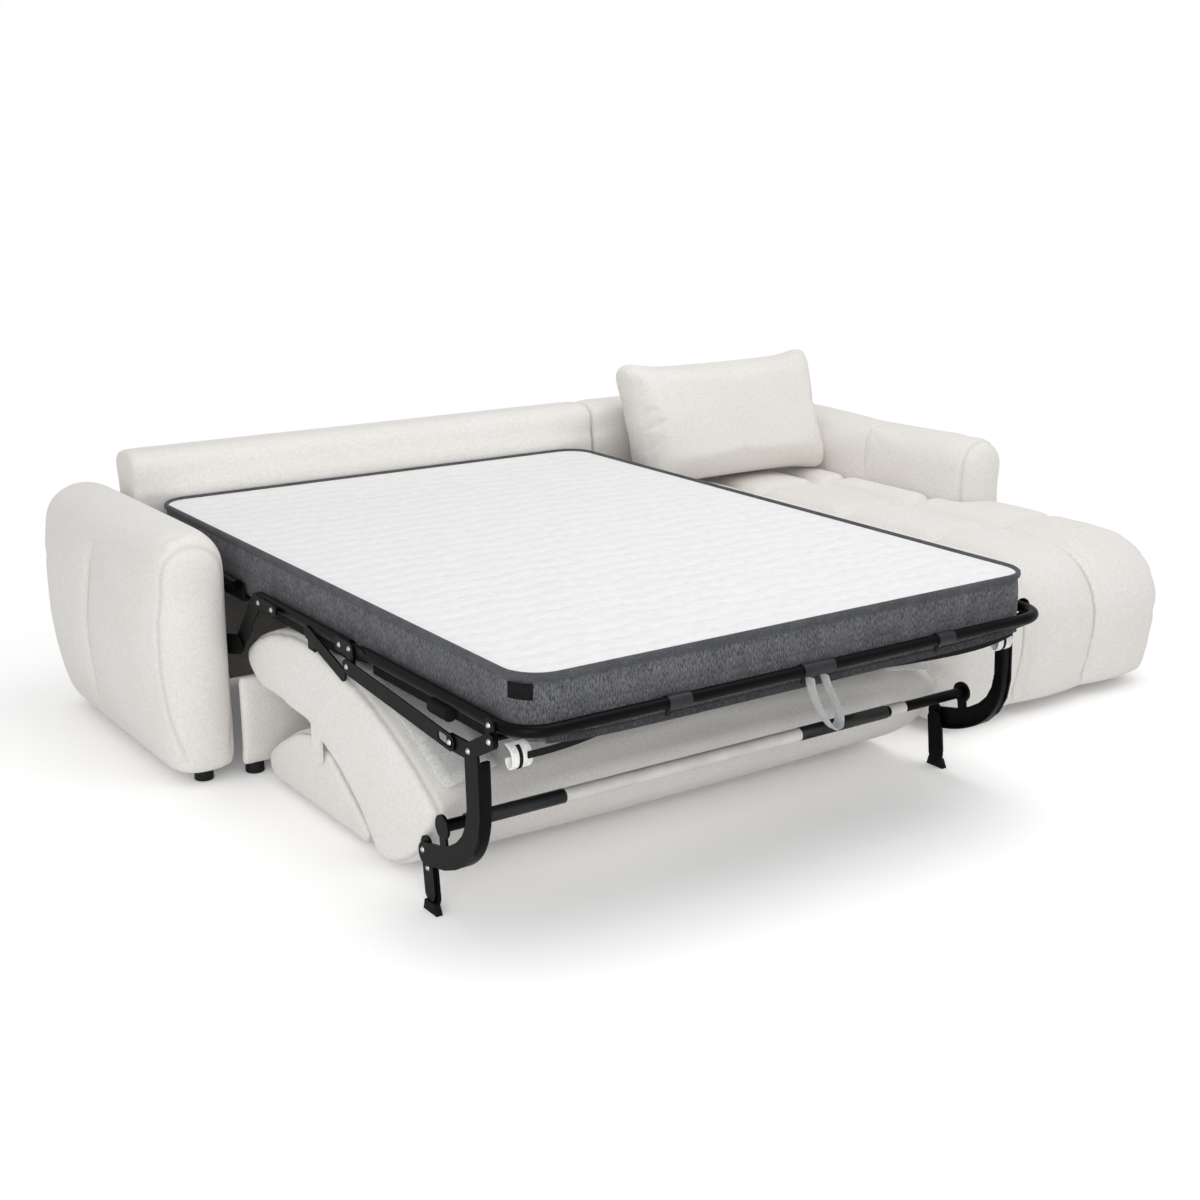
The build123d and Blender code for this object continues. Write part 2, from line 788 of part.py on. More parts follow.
def build_bed():
    """The bed's sections, from the head to the legs at its foot."""
    build_mattress("mattress_head", mattress_rear, head_end, round_rear=True)
    build_mattress("mattress_middle", head_end + section_gap, foot_start - section_gap)
    build_mattress("mattress_foot", foot_start, mattress_front, round_front=True)
    build_straight_tubes("head_tube", *head_frame, slider=guide_f)
    build_tray("head_tray", *head_frame)
    build_straight_tubes("middle_tube", *middle_tube)
    build_tray("middle_tray", *middle_tray)
    build_fold_brackets()
    build_hinge_plates()
    build_foot_frame()
    build_tray("foot_tray", *foot_tray)
    build_leg_plates()
    for number, (x, length) in enumerate(clip_places, 1):
        build_sleeve(f"tube_clip_{number}", (front_tube, tube_z), x - length / 2, x + length / 2)
    build_legs()
    build_stretcher()
    build_sleeve("stretcher_sleeve", stretcher, *sleeve_span)
    end_sleeve_left = end_sleeve_right - end_sleeve_length
    build_sleeve("stretcher_end_sleeve", stretcher, end_sleeve_left, end_sleeve_right)
    build_tie_bars()


def build_cushions():
    """The seat, the back cushion and the roll that ride under the bed, and the loose pillow."""
    build_seat()
    build_back_cushion()
    build_back_hangers()
    build_roll()
    build_pillow()


os.makedirs("parts", exist_ok=True)
build_shell()
build_bed()
build_cushions()
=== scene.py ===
"""Looks of a corner sofa bed with its bed unfolded.

Places are written in millimetres as across (x, from the bed's centre line), forward (f, from the
rear edge of the bed) and up (z, from the floor), and at() turns them into the model's frame.
"""
from __future__ import annotations

import logging
import math
from dataclasses import dataclass, field
from enum import Enum
from typing import Any, Callable, Sequence

import bmesh
import bpy
import numpy as np
from mathutils import Matrix, Vector


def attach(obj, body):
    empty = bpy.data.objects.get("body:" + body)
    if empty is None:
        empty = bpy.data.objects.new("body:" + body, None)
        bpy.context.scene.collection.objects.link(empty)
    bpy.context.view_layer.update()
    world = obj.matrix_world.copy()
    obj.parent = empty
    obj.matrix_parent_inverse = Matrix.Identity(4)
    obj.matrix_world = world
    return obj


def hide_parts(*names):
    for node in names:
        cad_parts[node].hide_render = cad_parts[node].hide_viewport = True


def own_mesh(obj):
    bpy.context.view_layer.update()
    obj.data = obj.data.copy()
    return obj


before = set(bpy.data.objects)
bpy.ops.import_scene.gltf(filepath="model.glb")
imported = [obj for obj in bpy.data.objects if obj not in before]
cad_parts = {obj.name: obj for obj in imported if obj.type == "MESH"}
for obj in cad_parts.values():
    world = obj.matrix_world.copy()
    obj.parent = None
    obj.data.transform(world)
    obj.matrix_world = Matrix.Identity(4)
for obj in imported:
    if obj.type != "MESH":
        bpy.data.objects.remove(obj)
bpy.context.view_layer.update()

LOG = logging.getLogger("sofa_bed")
CENTRE_X = 420.0
CENTRE_F = 861.25
FAR = 9999.0
SIDES = ((-1, "left"), (1, "right"))


class Way(Enum):
    """A direction across, forward or up, as a column of a table of places in millimetres."""

    ACROSS = 0
    FORWARD = 1
    UP = 2


Box = tuple[tuple[Way, float, float], ...]
Line = tuple[tuple[float, float], ...]


class Slot(Enum):
    """Material slots of the part's record."""

    CHENILLE = "chenille"
    TICKING = "ticking"
    BED_BASE = "bed_base"
    PALE_SLEEVE = "pale_sleeve"
    BLACK_STEEL = "black_steel"
    BLACK_PLASTIC = "black_plastic"
    RUBBER = "rubber"


def at(x: float, f: float, z: float) -> Vector:
    """Model place of a point given across, forward and up.

    Args:
        x: Millimetres to the right of the bed's centre line.
        f: Millimetres forward of the bed's rear edge.
        z: Millimetres above the floor.

    Returns:
        The point in metres in the model's frame.
    """
    return Vector(((x - CENTRE_X) / 1000, (CENTRE_F - f) / 1000, z / 1000))


def places(mesh: bpy.types.Mesh) -> np.ndarray:
    """Table of a mesh's points as across, forward and up in millimetres.

    Args:
        mesh: The mesh to read.

    Returns:
        One row of x, f and z for each point.
    """
    table = np.zeros(len(mesh.vertices) * 3)
    mesh.vertices.foreach_get("co", table)
    table = table.reshape(-1, 3) * 1000
    return np.column_stack((table[:, 0] + CENTRE_X, CENTRE_F - table[:, 1], table[:, 2]))


def inside(table: np.ndarray, box: Box) -> np.ndarray:
    """Which points lie in a box.

    Args:
        table: Points as across, forward and up.
        box: Limits along one or more ways.

    Returns:
        True or false for each point.
    """
    found = np.ones(len(table), bool)
    for way, low, high in box:
        place = table[:, way.value]
        found &= (place > low) & (place < high)
    return found


def linear(colour: str) -> tuple[float, float, float, float]:
    """Turns an sRGB hex colour into linear light.

    Args:
        colour: Hex digits with a leading hash.

    Returns:
        Red, green, blue and an alpha of 1.
    """
    shares = [int(colour[i:i + 2], 16) / 255 for i in (1, 3, 5)]
    light = [c / 12.92 if c <= 0.04045 else ((c + 0.055) / 1.055) ** 2.4 for c in shares]
    return (*light, 1.0)


def add_node(tree: bpy.types.NodeTree, kind: str, inputs: dict[Any, Any] | None = None,
             **settings: Any) -> bpy.types.Node:
    """Adds one shader node with its settings, values and links.

    Args:
        tree: The node tree that takes it.
        kind: Blender's name for the kind of node.
        inputs: A value, or a socket to link, for each input's name or number.
        settings: Properties of the node itself.

    Returns:
        The new node.
    """
    node = tree.nodes.new(kind)
    for key, value in settings.items():
        setattr(node, key, value)
    for key, value in (inputs or {}).items():
        if isinstance(value, bpy.types.NodeSocket):
            tree.links.new(value, node.inputs[key])
        else:
            node.inputs[key].default_value = value
    return node


def new_tree(name: str) -> tuple[bpy.types.Material, bpy.types.NodeTree]:
    """Makes an empty node material.

    Args:
        name: The material's name.

    Returns:
        The material and its node tree.
    """
    material = bpy.data.materials.new(name)
    material.use_nodes = True
    material.node_tree.nodes.clear()
    return material, material.node_tree


def close_tree(tree: bpy.types.NodeTree, base: Any, roughness: Any, height: Any, relief_mm: float,
               strength: float, **sockets: Any) -> None:
    """Ends a material with a bump, a principled shader and an output.

    Args:
        tree: The material's node tree.
        base: Colour or socket for the base colour.
        roughness: Number or socket for the roughness.
        height: Socket that gives the relief.
        relief_mm: Real height of the relief.
        strength: How strongly the relief shows.
        sockets: Further inputs of the shader, with spaces as underscores.
    """
    bump = add_node(tree, "ShaderNodeBump",
                    {"Height": height, "Distance": relief_mm / 1000, "Strength": strength})
    inputs = {"Base Color": base, "Roughness": roughness, "Normal": bump.outputs[0]}
    inputs.update({key.replace("_", " "): value for key, value in sockets.items()})
    shader = add_node(tree, "ShaderNodeBsdfPrincipled", inputs)
    add_node(tree, "ShaderNodeOutputMaterial", {"Surface": shader.outputs[0]})


def noise(tree: bpy.types.NodeTree, size_mm: tuple[float, float, float],
          detail: float = 2.0) -> bpy.types.NodeSocket:
    """Noise on Object coordinates, stretched to a real grain size along each axis.

    Args:
        tree: The material's node tree.
        size_mm: Grain size along X, Y and Z.
        detail: Levels of finer noise.

    Returns:
        The noise's factor socket.
    """
    where = add_node(tree, "ShaderNodeTexCoord")
    scale = tuple(1000 / s for s in size_mm)
    mapping = add_node(tree, "ShaderNodeMapping", {"Vector": where.outputs["Object"], "Scale": scale})
    grain = add_node(tree, "ShaderNodeTexNoise",
                     {"Vector": mapping.outputs[0], "Scale": 1.0, "Detail": detail})
    return grain.outputs[0]


def between(tree: bpy.types.NodeTree, factor: Any, low: str, high: str, start: float,
            end: float) -> bpy.types.NodeSocket:
    """Colour that runs from one to another over a stretch of a factor.

    Args:
        tree: The material's node tree.
        factor: Socket that drives the colour.
        low: Colour at the start.
        high: Colour at the end.
        start: Factor where the run starts.
        end: Factor where the run ends.

    Returns:
        The colour socket.
    """
    ramp = add_node(tree, "ShaderNodeValToRGB", {0: factor})
    ramp.color_ramp.elements[0].position = start
    ramp.color_ramp.elements[0].color = linear(low)
    ramp.color_ramp.elements[1].position = end
    ramp.color_ramp.elements[1].color = linear(high)
    return ramp.outputs[0]


def mixed(tree: bpy.types.NodeTree, factor: Any, first: Any, second: Any,
          blend: str = "MIX") -> bpy.types.NodeSocket:
    """Mixes two colours.

    Args:
        tree: The material's node tree.
        factor: Number or socket for the second colour's share.
        first: Colour or socket.
        second: Colour or socket.
        blend: Blender's name for the way of mixing.

    Returns:
        The mixed colour's socket.
    """
    node = add_node(tree, "ShaderNodeMix", {0: factor, 6: first, 7: second},
                    data_type="RGBA", blend_type=blend)
    return node.outputs[2]


def with_seam_shade(tree: bpy.types.NodeTree, cloth: Any, colour: str) -> bpy.types.NodeSocket:
    """Darkens a cloth with painted shade where its own attribute marks a seam's crease.

    Args:
        tree: The material's node tree.
        cloth: Socket of the cloth's colour.
        colour: Colour of the painted shade at a full seam.

    Returns:
        The shaded colour's socket.
    """
    # Painted shade: the attribute gives how much crease shade each point takes.
    seam = add_node(tree, "ShaderNodeAttribute", attribute_name="sewn")
    return mixed(tree, seam.outputs["Fac"], cloth, linear(colour))


def summed(tree: bpy.types.NodeTree, *parts: Any) -> bpy.types.NodeSocket:
    """Adds numbers or sockets together.

    Args:
        tree: The material's node tree.
        parts: What is added, at least two.

    Returns:
        The sum's socket.
    """
    total = parts[0]
    for part in parts[1:]:
        total = add_node(tree, "ShaderNodeMath", {0: total, 1: part}, operation="ADD").outputs[0]
    return total


@dataclass(frozen=True)
class Chenille:
    """Woven polyester chenille: a matt, slightly furry cloth whose slubs cross in both directions."""

    pale: str = "#F8F6F3"
    dark: str = "#E9E6E1"
    # Colour of the painted shade in the cloth's seam creases.
    sewn: str = "#B5AFA5"
    thread_mm: float = 2.2
    slub_mm: float = 7.5
    cloud_mm: float = 190.0

    def material(self) -> bpy.types.Material:
        """Builds the cloth. Threads are drawn at twice their real width so that they show."""
        material, tree = new_tree("cream_woven_chenille")
        thin, long = self.thread_mm, self.slub_mm
        sizes = ((thin, long, long), (long, thin, long), (long, long, thin))
        weave = summed(tree, *(noise(tree, size) for size in sizes))
        mean = add_node(tree, "ShaderNodeMath", {0: weave, 1: float(len(sizes))}, operation="DIVIDE")
        cloth = between(tree, mean.outputs[0], self.dark, self.pale, 0.36, 0.62)
        cloud = between(tree, noise(tree, (self.cloud_mm,) * 3), "#FCFBFA", "#FFFFFF", 0.3, 0.7)
        # Painted shade darkens the cloth in its seam creases.
        cloth = with_seam_shade(tree, mixed(tree, 1.0, cloth, cloud, "MULTIPLY"), self.sewn)
        close_tree(tree, cloth, 0.92, weave, 1.0, 0.5, Sheen_Weight=0.15, Sheen_Roughness=0.5,
                   Specular_IOR_Level=0.25)
        return material


@dataclass(frozen=True)
class QuiltKnit:
    """White stretch knit of the mattress top: a soft matt face with fine rows of stitches."""

    pale: str = "#F7F7F7"
    dark: str = "#EFEFEF"
    # Colour of the painted shade in the quilting's valleys.
    sewn: str = "#D5D5D6"
    rib_mm: float = 5.0
    row_mm: float = 26.0

    def material(self) -> bpy.types.Material:
        """Builds the knit, with its rows drawn about twice as wide as real ones."""
        material, tree = new_tree("white_quilt_knit")
        row = noise(tree, (self.row_mm, self.rib_mm, self.row_mm))
        # Painted shade darkens the knit in its quilting valleys.
        cloth = with_seam_shade(tree, between(tree, row, self.dark, self.pale, 0.35, 0.6), self.sewn)
        close_tree(tree, cloth, 0.9, row, 0.8, 0.4, Sheen_Weight=0.1, Specular_IOR_Level=0.2)
        return material


@dataclass(frozen=True)
class Melange:
    """Grey melange weave: dark and pale fibres twisted together, which leaves short upright flecks."""

    name: str = "grey_melange_border"
    dark: str = "#46474B"
    pale: str = "#7F8085"
    fleck_mm: tuple[float, float, float] = (2.4, 2.4, 9.0)
    # Colour of the painted shade in the weave's creases.
    sewn: str = "#45484D"
    cloud_mm: float = 40.0

    def material(self) -> bpy.types.Material:
        """Builds the weave, with flecks drawn wider than real fibres so that they show."""
        material, tree = new_tree(self.name)
        fleck = noise(tree, self.fleck_mm, 4.0)
        cloth = between(tree, fleck, self.dark, self.pale, 0.36, 0.66)
        cloud = between(tree, noise(tree, (self.cloud_mm,) * 3), "#E6E6E6", "#FFFFFF", 0.35, 0.65)
        # Painted shade darkens the weave in its creases.
        cloth = with_seam_shade(tree, mixed(tree, 1.0, cloth, cloud, "MULTIPLY"), self.sewn)
        close_tree(tree, cloth, 0.93, fleck, 0.7, 0.5, Sheen_Weight=0.1, Specular_IOR_Level=0.2)
        return material


@dataclass(frozen=True)
class Coated:
    """A hard, opaque finish with fine grain: powder coat, moulded plastic, rubber or plated steel."""

    name: str
    colour: str
    worn: str
    roughness: float
    grain_mm: float
    relief_mm: float = 0.25
    metallic: float = 0.0
    specular: float = 0.5
    patch_mm: float = 60.0
    gloss_swing: float = 0.07

    def material(self) -> bpy.types.Material:
        """Builds the finish. The grain is drawn coarser than real so that it breaks up the gloss."""
        material, tree = new_tree(self.name)
        grain = noise(tree, (self.grain_mm,) * 3, 3.0)
        patch = noise(tree, (self.patch_mm,) * 3, 3.0)
        colour = between(tree, patch, self.colour, self.worn, 0.42, 0.75)
        low, high = self.roughness - self.gloss_swing, self.roughness + self.gloss_swing
        gloss = add_node(tree, "ShaderNodeMapRange", {"Value": patch, "To Min": low, "To Max": high})
        close_tree(tree, colour, gloss.outputs[0], grain, self.relief_mm, 0.35,
                   Metallic=self.metallic, Specular_IOR_Level=self.specular)
        return material


@dataclass(frozen=True)
class Fleece:
    """Thin white non-woven lining: short fibres pressed flat, matt and a little uneven."""

    name: str = "white_nonwoven_lining"
    pale: str = "#F4F4F2"
    dark: str = "#DEDEDB"
    fibre_mm: float = 5.0

    def material(self) -> bpy.types.Material:
        """Builds the lining, with fibre clumps drawn large enough to show."""
        material, tree = new_tree(self.name)
        fibre = noise(tree, (self.fibre_mm, self.fibre_mm, self.fibre_mm * 2), 4.0)
        cloth = between(tree, fibre, self.dark, self.pale, 0.35, 0.65)
        close_tree(tree, cloth, 0.9, fibre, 0.8, 0.4, Specular_IOR_Level=0.25)
        return material


@dataclass(frozen=True)
class ClearVinyl:
    """Clear soft vinyl of the pull strap: see-through with a bright, slightly wavy surface."""

    pale: str = "#F1F3F4"
    dark: str = "#E6E9EB"
    wave_mm: float = 18.0

    def material(self) -> bpy.types.Material:
        """Builds the vinyl, with waves as wide as the strap's own ripples."""
        material, tree = new_tree("clear_soft_vinyl")
        wave = noise(tree, (self.wave_mm,) * 3)
        tint = between(tree, wave, self.dark, self.pale, 0.3, 0.7)
        close_tree(tree, tint, 0.18, wave, 0.8, 0.3, Transmission_Weight=0.55, IOR=1.45)
        return material


class Finishes:
    """Every finish of the sofa bed, made once and shared."""

    def __init__(self) -> None:
        """Builds the materials."""
        self.chenille = Chenille().material()
        self.knit = QuiltKnit().material()
        self.border = Melange().material()
        # Painted shade: a darker copy of the border for its strip that shows in shade below the front tube.
        self.border_in_shade = Melange("shaded_border", "#2E2F32", "#505155").material()
        self.piping = Melange("grey_piping", "#4C4D51", "#626468", (3.0, 3.0, 3.0)).material()
        self.lining = Fleece().material()
        self.vinyl = ClearVinyl().material()
        self.steel = Coated("black_powder_coated_steel", "#050506", "#09090A", 0.38, 2.4,
                            specular=0.10).material()
        self.plastic = Coated("black_moulded_polypropylene", "#101010", "#181818", 0.52, 3.0,
                              specular=0.3).material()
        self.clip = Coated("charcoal_moulded_nylon", "#232426", "#2D2E30", 0.45, 2.5,
                           specular=0.35).material()
        self.rubber = Coated("black_rubber", "#0C0C0C", "#131313", 0.80, 3.5, specular=0.25).material()
        self.sleeve = Coated("pale_foam_sleeve", "#DEDCD7", "#EFEDE9", 0.75, 4.0, 0.6).material()
        self.rivet = Coated("zinc_plated_steel", "#C4C6C8", "#E2E3E4", 0.32, 1.5,
                            metallic=1.0).material()
        self.base = Fleece("black_base_felt", "#1D1D1E", "#111112", 6.0).material()
        self.tag = Fleece("black_satin_tag", "#1A1A1A", "#0B0B0B", 3.0).material()


def from_bmesh(name: str, bm: bmesh.types.BMesh, smooth: bool = True) -> bpy.types.Object:
    """Ends a bmesh and puts it in the scene at the origin.

    Args:
        name: The piece's name.
        bm: The bmesh, which is freed.
        smooth: Whether its faces are shaded smooth.

    Returns:
        The new object.
    """
    for face in bm.faces:
        face.smooth = smooth
    mesh = bpy.data.meshes.new(name)
    bm.to_mesh(mesh)
    bm.free()
    piece = bpy.data.objects.new(name, mesh)
    bpy.context.scene.collection.objects.link(piece)
    return piece


def new_verts(made: dict[str, Any]) -> list[bmesh.types.BMVert]:
    """Points that a bmesh operator has made.

    Args:
        made: What the operator returned.

    Returns:
        Its points.
    """
    return [item for item in made["geom"] if isinstance(item, bmesh.types.BMVert)]


def add_rod(bm: bmesh.types.BMesh, radius: float, length: float, matrix: Matrix, tip: float | None = None,
            segments: int = 24) -> None:
    """Adds a round rod, straight or tapered, in millimetres.

    Args:
        bm: The bmesh that takes it.
        radius: Radius at its foot.
        length: Its length.
        matrix: Where its middle lies and how it is turned.
        tip: Radius at its other end, if that differs.
        segments: Faces round it.
    """
    far_radius = radius if tip is None else tip
    bmesh.ops.create_cone(bm, cap_ends=True, segments=segments, radius1=radius / 1000,
                          radius2=far_radius / 1000, depth=length / 1000, matrix=matrix)


def dress(piece: bpy.types.Object, material: bpy.types.Material,
          body: str) -> bpy.types.Object:
    """Gives a new piece its finish and the body it moves with.

    Args:
        piece: The new piece.
        material: Its finish.
        body: The body it rides on.

    Returns:
        The same piece.
    """
    if not piece.data.materials:
        piece.data.materials.append(material)
    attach(piece, body)
    LOG.info("%s rides on %s", piece.name, body)
    return piece


def evaluated(piece: bpy.types.Object) -> bpy.types.Mesh:
    """Mesh of a piece with its modifiers worked in.

    Args:
        piece: The piece.

    Returns:
        A new mesh.
    """
    graph = bpy.context.evaluated_depsgraph_get()
    return bpy.data.meshes.new_from_object(piece.evaluated_get(graph))


def work_in(piece: bpy.types.Object) -> None:
    """Works a piece's modifiers into its mesh and removes them.

    Args:
        piece: The piece to change.
    """
    mesh = evaluated(piece)
    piece.modifiers.clear()
    piece.data = mesh


@dataclass(frozen=True)
class Seam:
    """A seam where a surface is cut by a sheet that stands across one way and bends along another."""

    across: Way
    along: Way
    path: Line
    depth: float
    width: float
    limits: Box = ()
    fade: float = 40.0

    def share(self, table: np.ndarray, width: float) -> np.ndarray:
        """How strongly each point belongs to the seam.

        Args:
            table: Points as across, forward and up.
            width: Half width at which the share has fallen to about a third.

        Returns:
            A share from 0 to 1 for each point.
        """
        spots, line = zip(*self.path)
        line_at = np.interp(table[:, self.along.value], spots, line)
        share = np.exp(-(((table[:, self.across.value] - line_at) / width) ** 2))
        for way, low, high in self.limits:
            place = table[:, way.value]
            share = share * np.clip(np.minimum(place - low, high - place) / self.fade, 0, 1)
        return share


def straight(across: Way, place: float, **facts: Any) -> Seam:
    """A seam in a flat sheet.

    Args:
        across: The way that the sheet stands across, which isn't up.
        place: Where it stands.
        facts: Depth, width, limits and fade of the seam.

    Returns:
        The seam.
    """
    return Seam(across, Way.UP, ((-FAR, place), (FAR, place)), **facts)


@dataclass
class SoftForm:
    """One upholstered piece: skinned over its solid, filled by cloth simulation and given its seams, with
    painted shade in them.
    """

    name: str
    body: str
    nodes: tuple[str, ...]
    voxel_mm: float
    relax: int
    pressure: float
    cap_mm: float
    seams: tuple[Seam, ...] = ()
    held: tuple[Box, ...] = ()
    fill: float = 0.8
    start: bpy.types.Object | None = field(default=None, repr=False)
    swell: Callable[[np.ndarray], np.ndarray] | None = None
    steps: int = 20
    # Width of the painted shade line, the seam depth that takes it fully and its strongest share.
    seam_shade_mm: float = 4.5
    full_depth: float = 9.0
    darkest: float = 0.75

    def skin(self) -> bpy.types.Object:
        """Covers the solid with an even, relaxed skin.

        Returns:
            The skinned object.
        """
        piece = self.start
        if piece is None:
            bm = bmesh.new()
            for node in self.nodes:
                bm.from_mesh(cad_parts[node].data)
            bmesh.ops.remove_doubles(bm, verts=bm.verts, dist=1e-5)
            piece = from_bmesh(self.name, bm)
        remesh = piece.modifiers.new("skin", "REMESH")
        remesh.mode = "VOXEL"
        remesh.voxel_size = self.voxel_mm / 1000
        work_in(piece)
        bm = bmesh.new()
        bm.from_mesh(piece.data)
        for _ in range(self.relax):
            bmesh.ops.smooth_vert(bm, verts=bm.verts, factor=0.5, use_axis_x=True, use_axis_y=True,
                                  use_axis_z=True)
        bm.to_mesh(piece.data)
        bm.free()
        piece.data.materials.clear()
        return piece

    def plump(self, piece: bpy.types.Object) -> None:
        """Fills the skin by cloth simulation, with its seams and hidden sides held.

        Args:
            piece: The skinned object, which keeps the filled shape.
        """
        rest = places(piece.data)
        held = np.zeros(len(rest), bool)
        for box in self.held:
            held |= inside(rest, box)
        for seam in self.seams:
            held |= seam.share(rest, self.voxel_mm * 0.8) > 0.4
        group = piece.vertex_groups.new(name="sewn_down")
        group.add([int(i) for i in np.flatnonzero(held)], 1.0, "ADD")
        cloth = piece.modifiers.new("fill", "CLOTH")
        cloth.settings.vertex_group_mass = group.name
        cloth.settings.use_pressure = True
        cloth.settings.uniform_pressure_force = self.pressure
        cloth.settings.effector_weights.gravity = 0
        cloth.settings.quality = 4
        cloth.settings.mass = 0.4
        cloth.settings.tension_stiffness = 12
        cloth.settings.compression_stiffness = 12
        cloth.settings.bending_stiffness = 2
        cloth.point_cache.frame_start = 1
        cloth.point_cache.frame_end = self.steps
        for step in range(self.steps):
            bpy.context.scene.frame_set(step + 1)
        filled = places(evaluated(piece))
        bpy.context.scene.frame_set(1)
        piece.modifiers.clear()
        piece.vertex_groups.clear()
        move = filled - rest
        length = np.maximum(np.linalg.norm(move, axis=1), 1e-9)
        move *= (self.cap_mm * np.tanh(length / self.cap_mm) / length)[:, None]
        self.place(piece.data, rest + move)

    @staticmethod
    def place(mesh: bpy.types.Mesh, table: np.ndarray) -> None:
        """Writes a table of places back into a mesh.

        Args:
            mesh: The mesh to change.
            table: Points as across, forward and up.
        """
        metres = np.column_stack((table[:, 0] - CENTRE_X, CENTRE_F - table[:, 1], table[:, 2])) / 1000
        mesh.vertices.foreach_set("co", metres.ravel())
        mesh.update()

    def sew(self, piece: bpy.types.Object) -> None:
        """Draws the seams in and marks painted shade along them, stronger for deeper seams, for the cloth's
        colour.

        Args:
            piece: The filled and refined object.
        """
        mesh = piece.data
        table = places(mesh)
        normals = np.zeros(len(mesh.vertices) * 3)
        mesh.vertices.foreach_get("normal", normals)
        normals = normals.reshape(-1, 3) * (1, -1, 1)
        crease_shade = np.zeros(len(table))
        for seam in self.seams:
            table -= normals * (seam.depth * seam.share(table, seam.width))[:, None]
            # Painted shade in the seam's crease, darker for deeper seams.
            crease_shade = np.maximum(crease_shade, seam.share(table, self.seam_shade_mm) * min(1.0, seam.depth / self.full_depth))
        self.place(mesh, table)
        sewn = mesh.attributes.new("sewn", "FLOAT", "POINT")
        sewn.data.foreach_set("value", (crease_shade * self.darkest).astype(np.float32))

    def make(self) -> bpy.types.Object:
        """Skins, fills, refines and sews the piece.

        Returns:
            The finished object.
        """
        piece = self.skin()
        self.plump(piece)
        if self.swell is not None:
            table = places(piece.data)
            self.place(piece.data, table + self.swell(table))
        refine = piece.modifiers.new("refine", "SUBSURF")
        refine.levels = refine.render_levels = 1
        work_in(piece)
        self.sew(piece)
        for face in piece.data.polygons:
            face.use_smooth = True
        return piece

    def build(self, finishes: Finishes) -> bpy.types.Object:
        """Makes the piece, dresses it and lets it stand for its solids.

        Args:
            finishes: The shared materials.

        Returns:
            The finished object.
        """
        piece = self.make()
        dress(piece, finishes.chenille, self.body)
        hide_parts(*self.nodes)
        return piece


